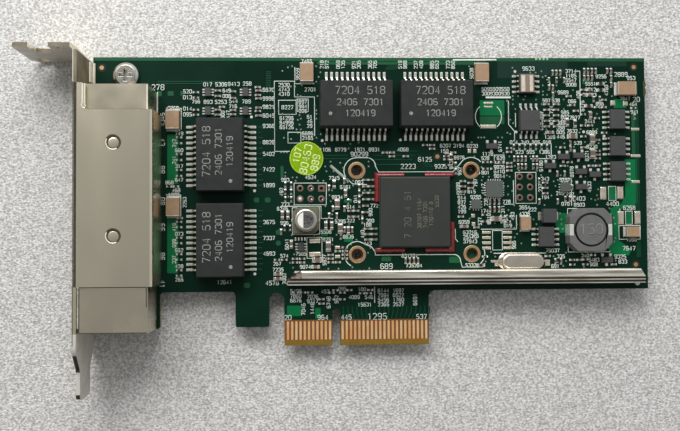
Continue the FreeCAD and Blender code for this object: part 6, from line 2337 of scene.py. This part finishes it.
# --- studio --------------------------------------------------------------------------------
@dataclass
class Studio:
    """Floor, light and camera."""

    card: CardFrame
    camera_place: Triple = (-8.04, 23.16, 223.0)
    camera_aim: tuple[float, float] = (1.05, 30.9)
    camera_lean: float = 0.0065
    camera_lens: float = 49.42
    floor_size: float = 1600.0
    floor_depth: float = 5.0
    floor_gap: float = 0.2
    horizon: float = 0.8
    zenith: float = 0.34
    near_share: float = 0.08
    far_share: float = 1.92
    key_power: float = 2.2
    key_size: Point = (0.45, 0.22)
    key_place: Triple = (-100.0, 360.0, 340.0)
    key_aim: Triple = (10.0, 30.0, 0.0)
    sky_colour: str = "#f4f5f6"
    sensor_width: float = 36.0

    def build(self) -> None:
        """Makes the floor, the lights and the camera."""
        self.floor()
        self.light()
        self.camera()
        bpy.context.scene.view_settings.view_transform = "Standard"

    def floor(self) -> None:
        """Lays the sheet under the card's lowest point."""
        low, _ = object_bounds()
        level = low.z / MM - self.floor_gap
        half = self.floor_size / 2
        sketch = Sketch()
        sketch.block((-half, -half, level - self.floor_depth), (half, half, level))
        sheet = bpy.data.objects.new("foam_floor", sketch.mesh("foam_floor"))
        sheet.data.materials.append(FOAM_FLOOR.material())
        bpy.context.scene.collection.objects.link(sheet)
        sheet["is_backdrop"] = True

    def light(self) -> None:
        """Adds a sky that is darker overhead and in front, and one soft lamp beyond the edge."""
        world = bpy.data.worlds.new("soft_sky")
        bpy.context.scene.world = world
        world.use_nodes = True
        tree = world.node_tree
        tree.nodes.clear()
        direction = add_node(tree, "ShaderNodeTexCoord").outputs["Generated"]
        part = add_node(tree, "ShaderNodeSeparateXYZ", {"Vector": direction}).outputs
        level = remap(tree, part["Z"], (0.0, 1.0), (self.horizon, self.zenith))
        side = remap(tree, part["Y"], (-1.0, 1.0), (self.near_share, self.far_share))
        strength = calculate(tree, "MULTIPLY", level, side)
        sky = add_node(tree, "ShaderNodeBackground",
                       {"Color": linear(self.sky_colour), "Strength": strength})
        add_node(tree, "ShaderNodeOutputWorld", {"Surface": sky.outputs["Background"]})
        lamp = bpy.data.lights.new("soft_window", "AREA")
        lamp.shape = "RECTANGLE"
        lamp.size, lamp.size_y = self.key_size
        lamp.energy = self.key_power
        window = bpy.data.objects.new("soft_window", lamp)
        bpy.context.scene.collection.objects.link(window)
        window.location = Vector(self.key_place) * MM
        aim = Vector(self.key_aim) * MM
        window.rotation_euler = (aim - window.location).to_track_quat("-Z", "Y").to_euler()

    def camera(self) -> None:
        """Sets the camera almost straight above the board."""
        data = bpy.data.cameras.new("overhead_camera")
        data.sensor_width = self.sensor_width
        data.lens = self.camera_lens
        data.clip_start, data.clip_end = 0.01, 10
        camera = bpy.data.objects.new("overhead_camera", data)
        bpy.context.scene.collection.objects.link(camera)
        x, y, above = self.camera_place
        place = Vector((x, y, self.card.top + above))
        aim = Vector((*self.camera_aim, self.card.top))
        back = (place - aim).normalized()
        right = Vector((self.camera_lean, 1, 0)).cross(back).normalized()
        up = back.cross(right)
        turn = Matrix((right, up, back)).transposed()
        camera.matrix_world = Matrix.Translation(place * MM) @ turn.to_4x4()
        bpy.context.scene.camera = camera


def write_sizes(before: tuple[Vector, Vector], after: tuple[Vector, Vector]) -> None:
    """Puts the CAD box and the dressed card's box, in metres, in a dict that is not written
    anywhere.
    """
    sizes = {"cad": [list(corner) for corner in before],
             "visual": [list(corner) for corner in after]}


def main() -> None:
    """Builds every sub-assembly in order."""
    logging.basicConfig(level=logging.INFO, format="%(message)s")
    card = CardFrame()
    layout = Layout(card)
    board = Board(card, layout)
    board.build()
    Legend(card, layout, board.heatsink_holes()).build()
    EdgeContacts(card).build()
    BracketAssembly(card).build()
    NetworkJack(card).build()
    rows = (("7204 518", 3.0, 1.75), ("2406 7301", 0.2, 1.45), ("120419", -2.4, 1.4))
    for number in range(1, 5):
        if number < 3:
            marks = [(text, -off, 0.6, height, Turn.UP) for text, off, height in rows]
            dot = (2.6, -6.3, 0.42)
        else:
            marks = [(text, 0.8, off, height, Turn.ALONG) for text, off, height in rows]
            dot = (-6.2, -2.5, 0.42)
        MouldedPackage(card, f"transformer_body_{number}", f"lan_transformer_{number}",
                       f"lan_transformer_leads_{number}", TRANSFORMER_EPOXY, "transformer_epoxy",
                       edge_radius=0.22, mark_width=0.2, marks=marks, dot=dot).build()
    small = {"shoulder": 0.18, "foot": 0.5, "bend": 0.12, "solder_beyond": 0.3}
    for name, node, leads in (("flash_body", "flash_memory", "flash_memory_leads"),
                              ("labelled_body", "labelled_memory", "labelled_memory_leads"),
                              ("switch_bodies", "power_switches", "power_switch_leads"),
                              ("regulator_body", "regulator", "regulator_leads")):
        MouldedPackage(card, name, node, leads, CHIP_EPOXY, "mould_compound",
                       row=dict(small)).build()
    Controller(card).build()
    TallParts(card).build()
    SmallParts(card).build()
    for node, kind in (("large_capacitors", ChipKind.LARGE_CAPACITOR),
                       ("wide_capacitors", ChipKind.LARGE_CAPACITOR),
                       ("medium_capacitors", ChipKind.CAPACITOR),
                       ("small_capacitors", ChipKind.CAPACITOR),
                       ("tiny_capacitors", ChipKind.CAPACITOR),
                       ("small_resistors", ChipKind.RESISTOR),
                       ("tiny_resistors", ChipKind.RESISTOR)):
        ChipSet(card, node, kind, node).build()
    SolderSide(card, board.header_holes()).build()
    DenseGround(card, layout).build()
    Studio(card).build()
    write_sizes(card.whole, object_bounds())


if __name__ == "__main__":
    main()
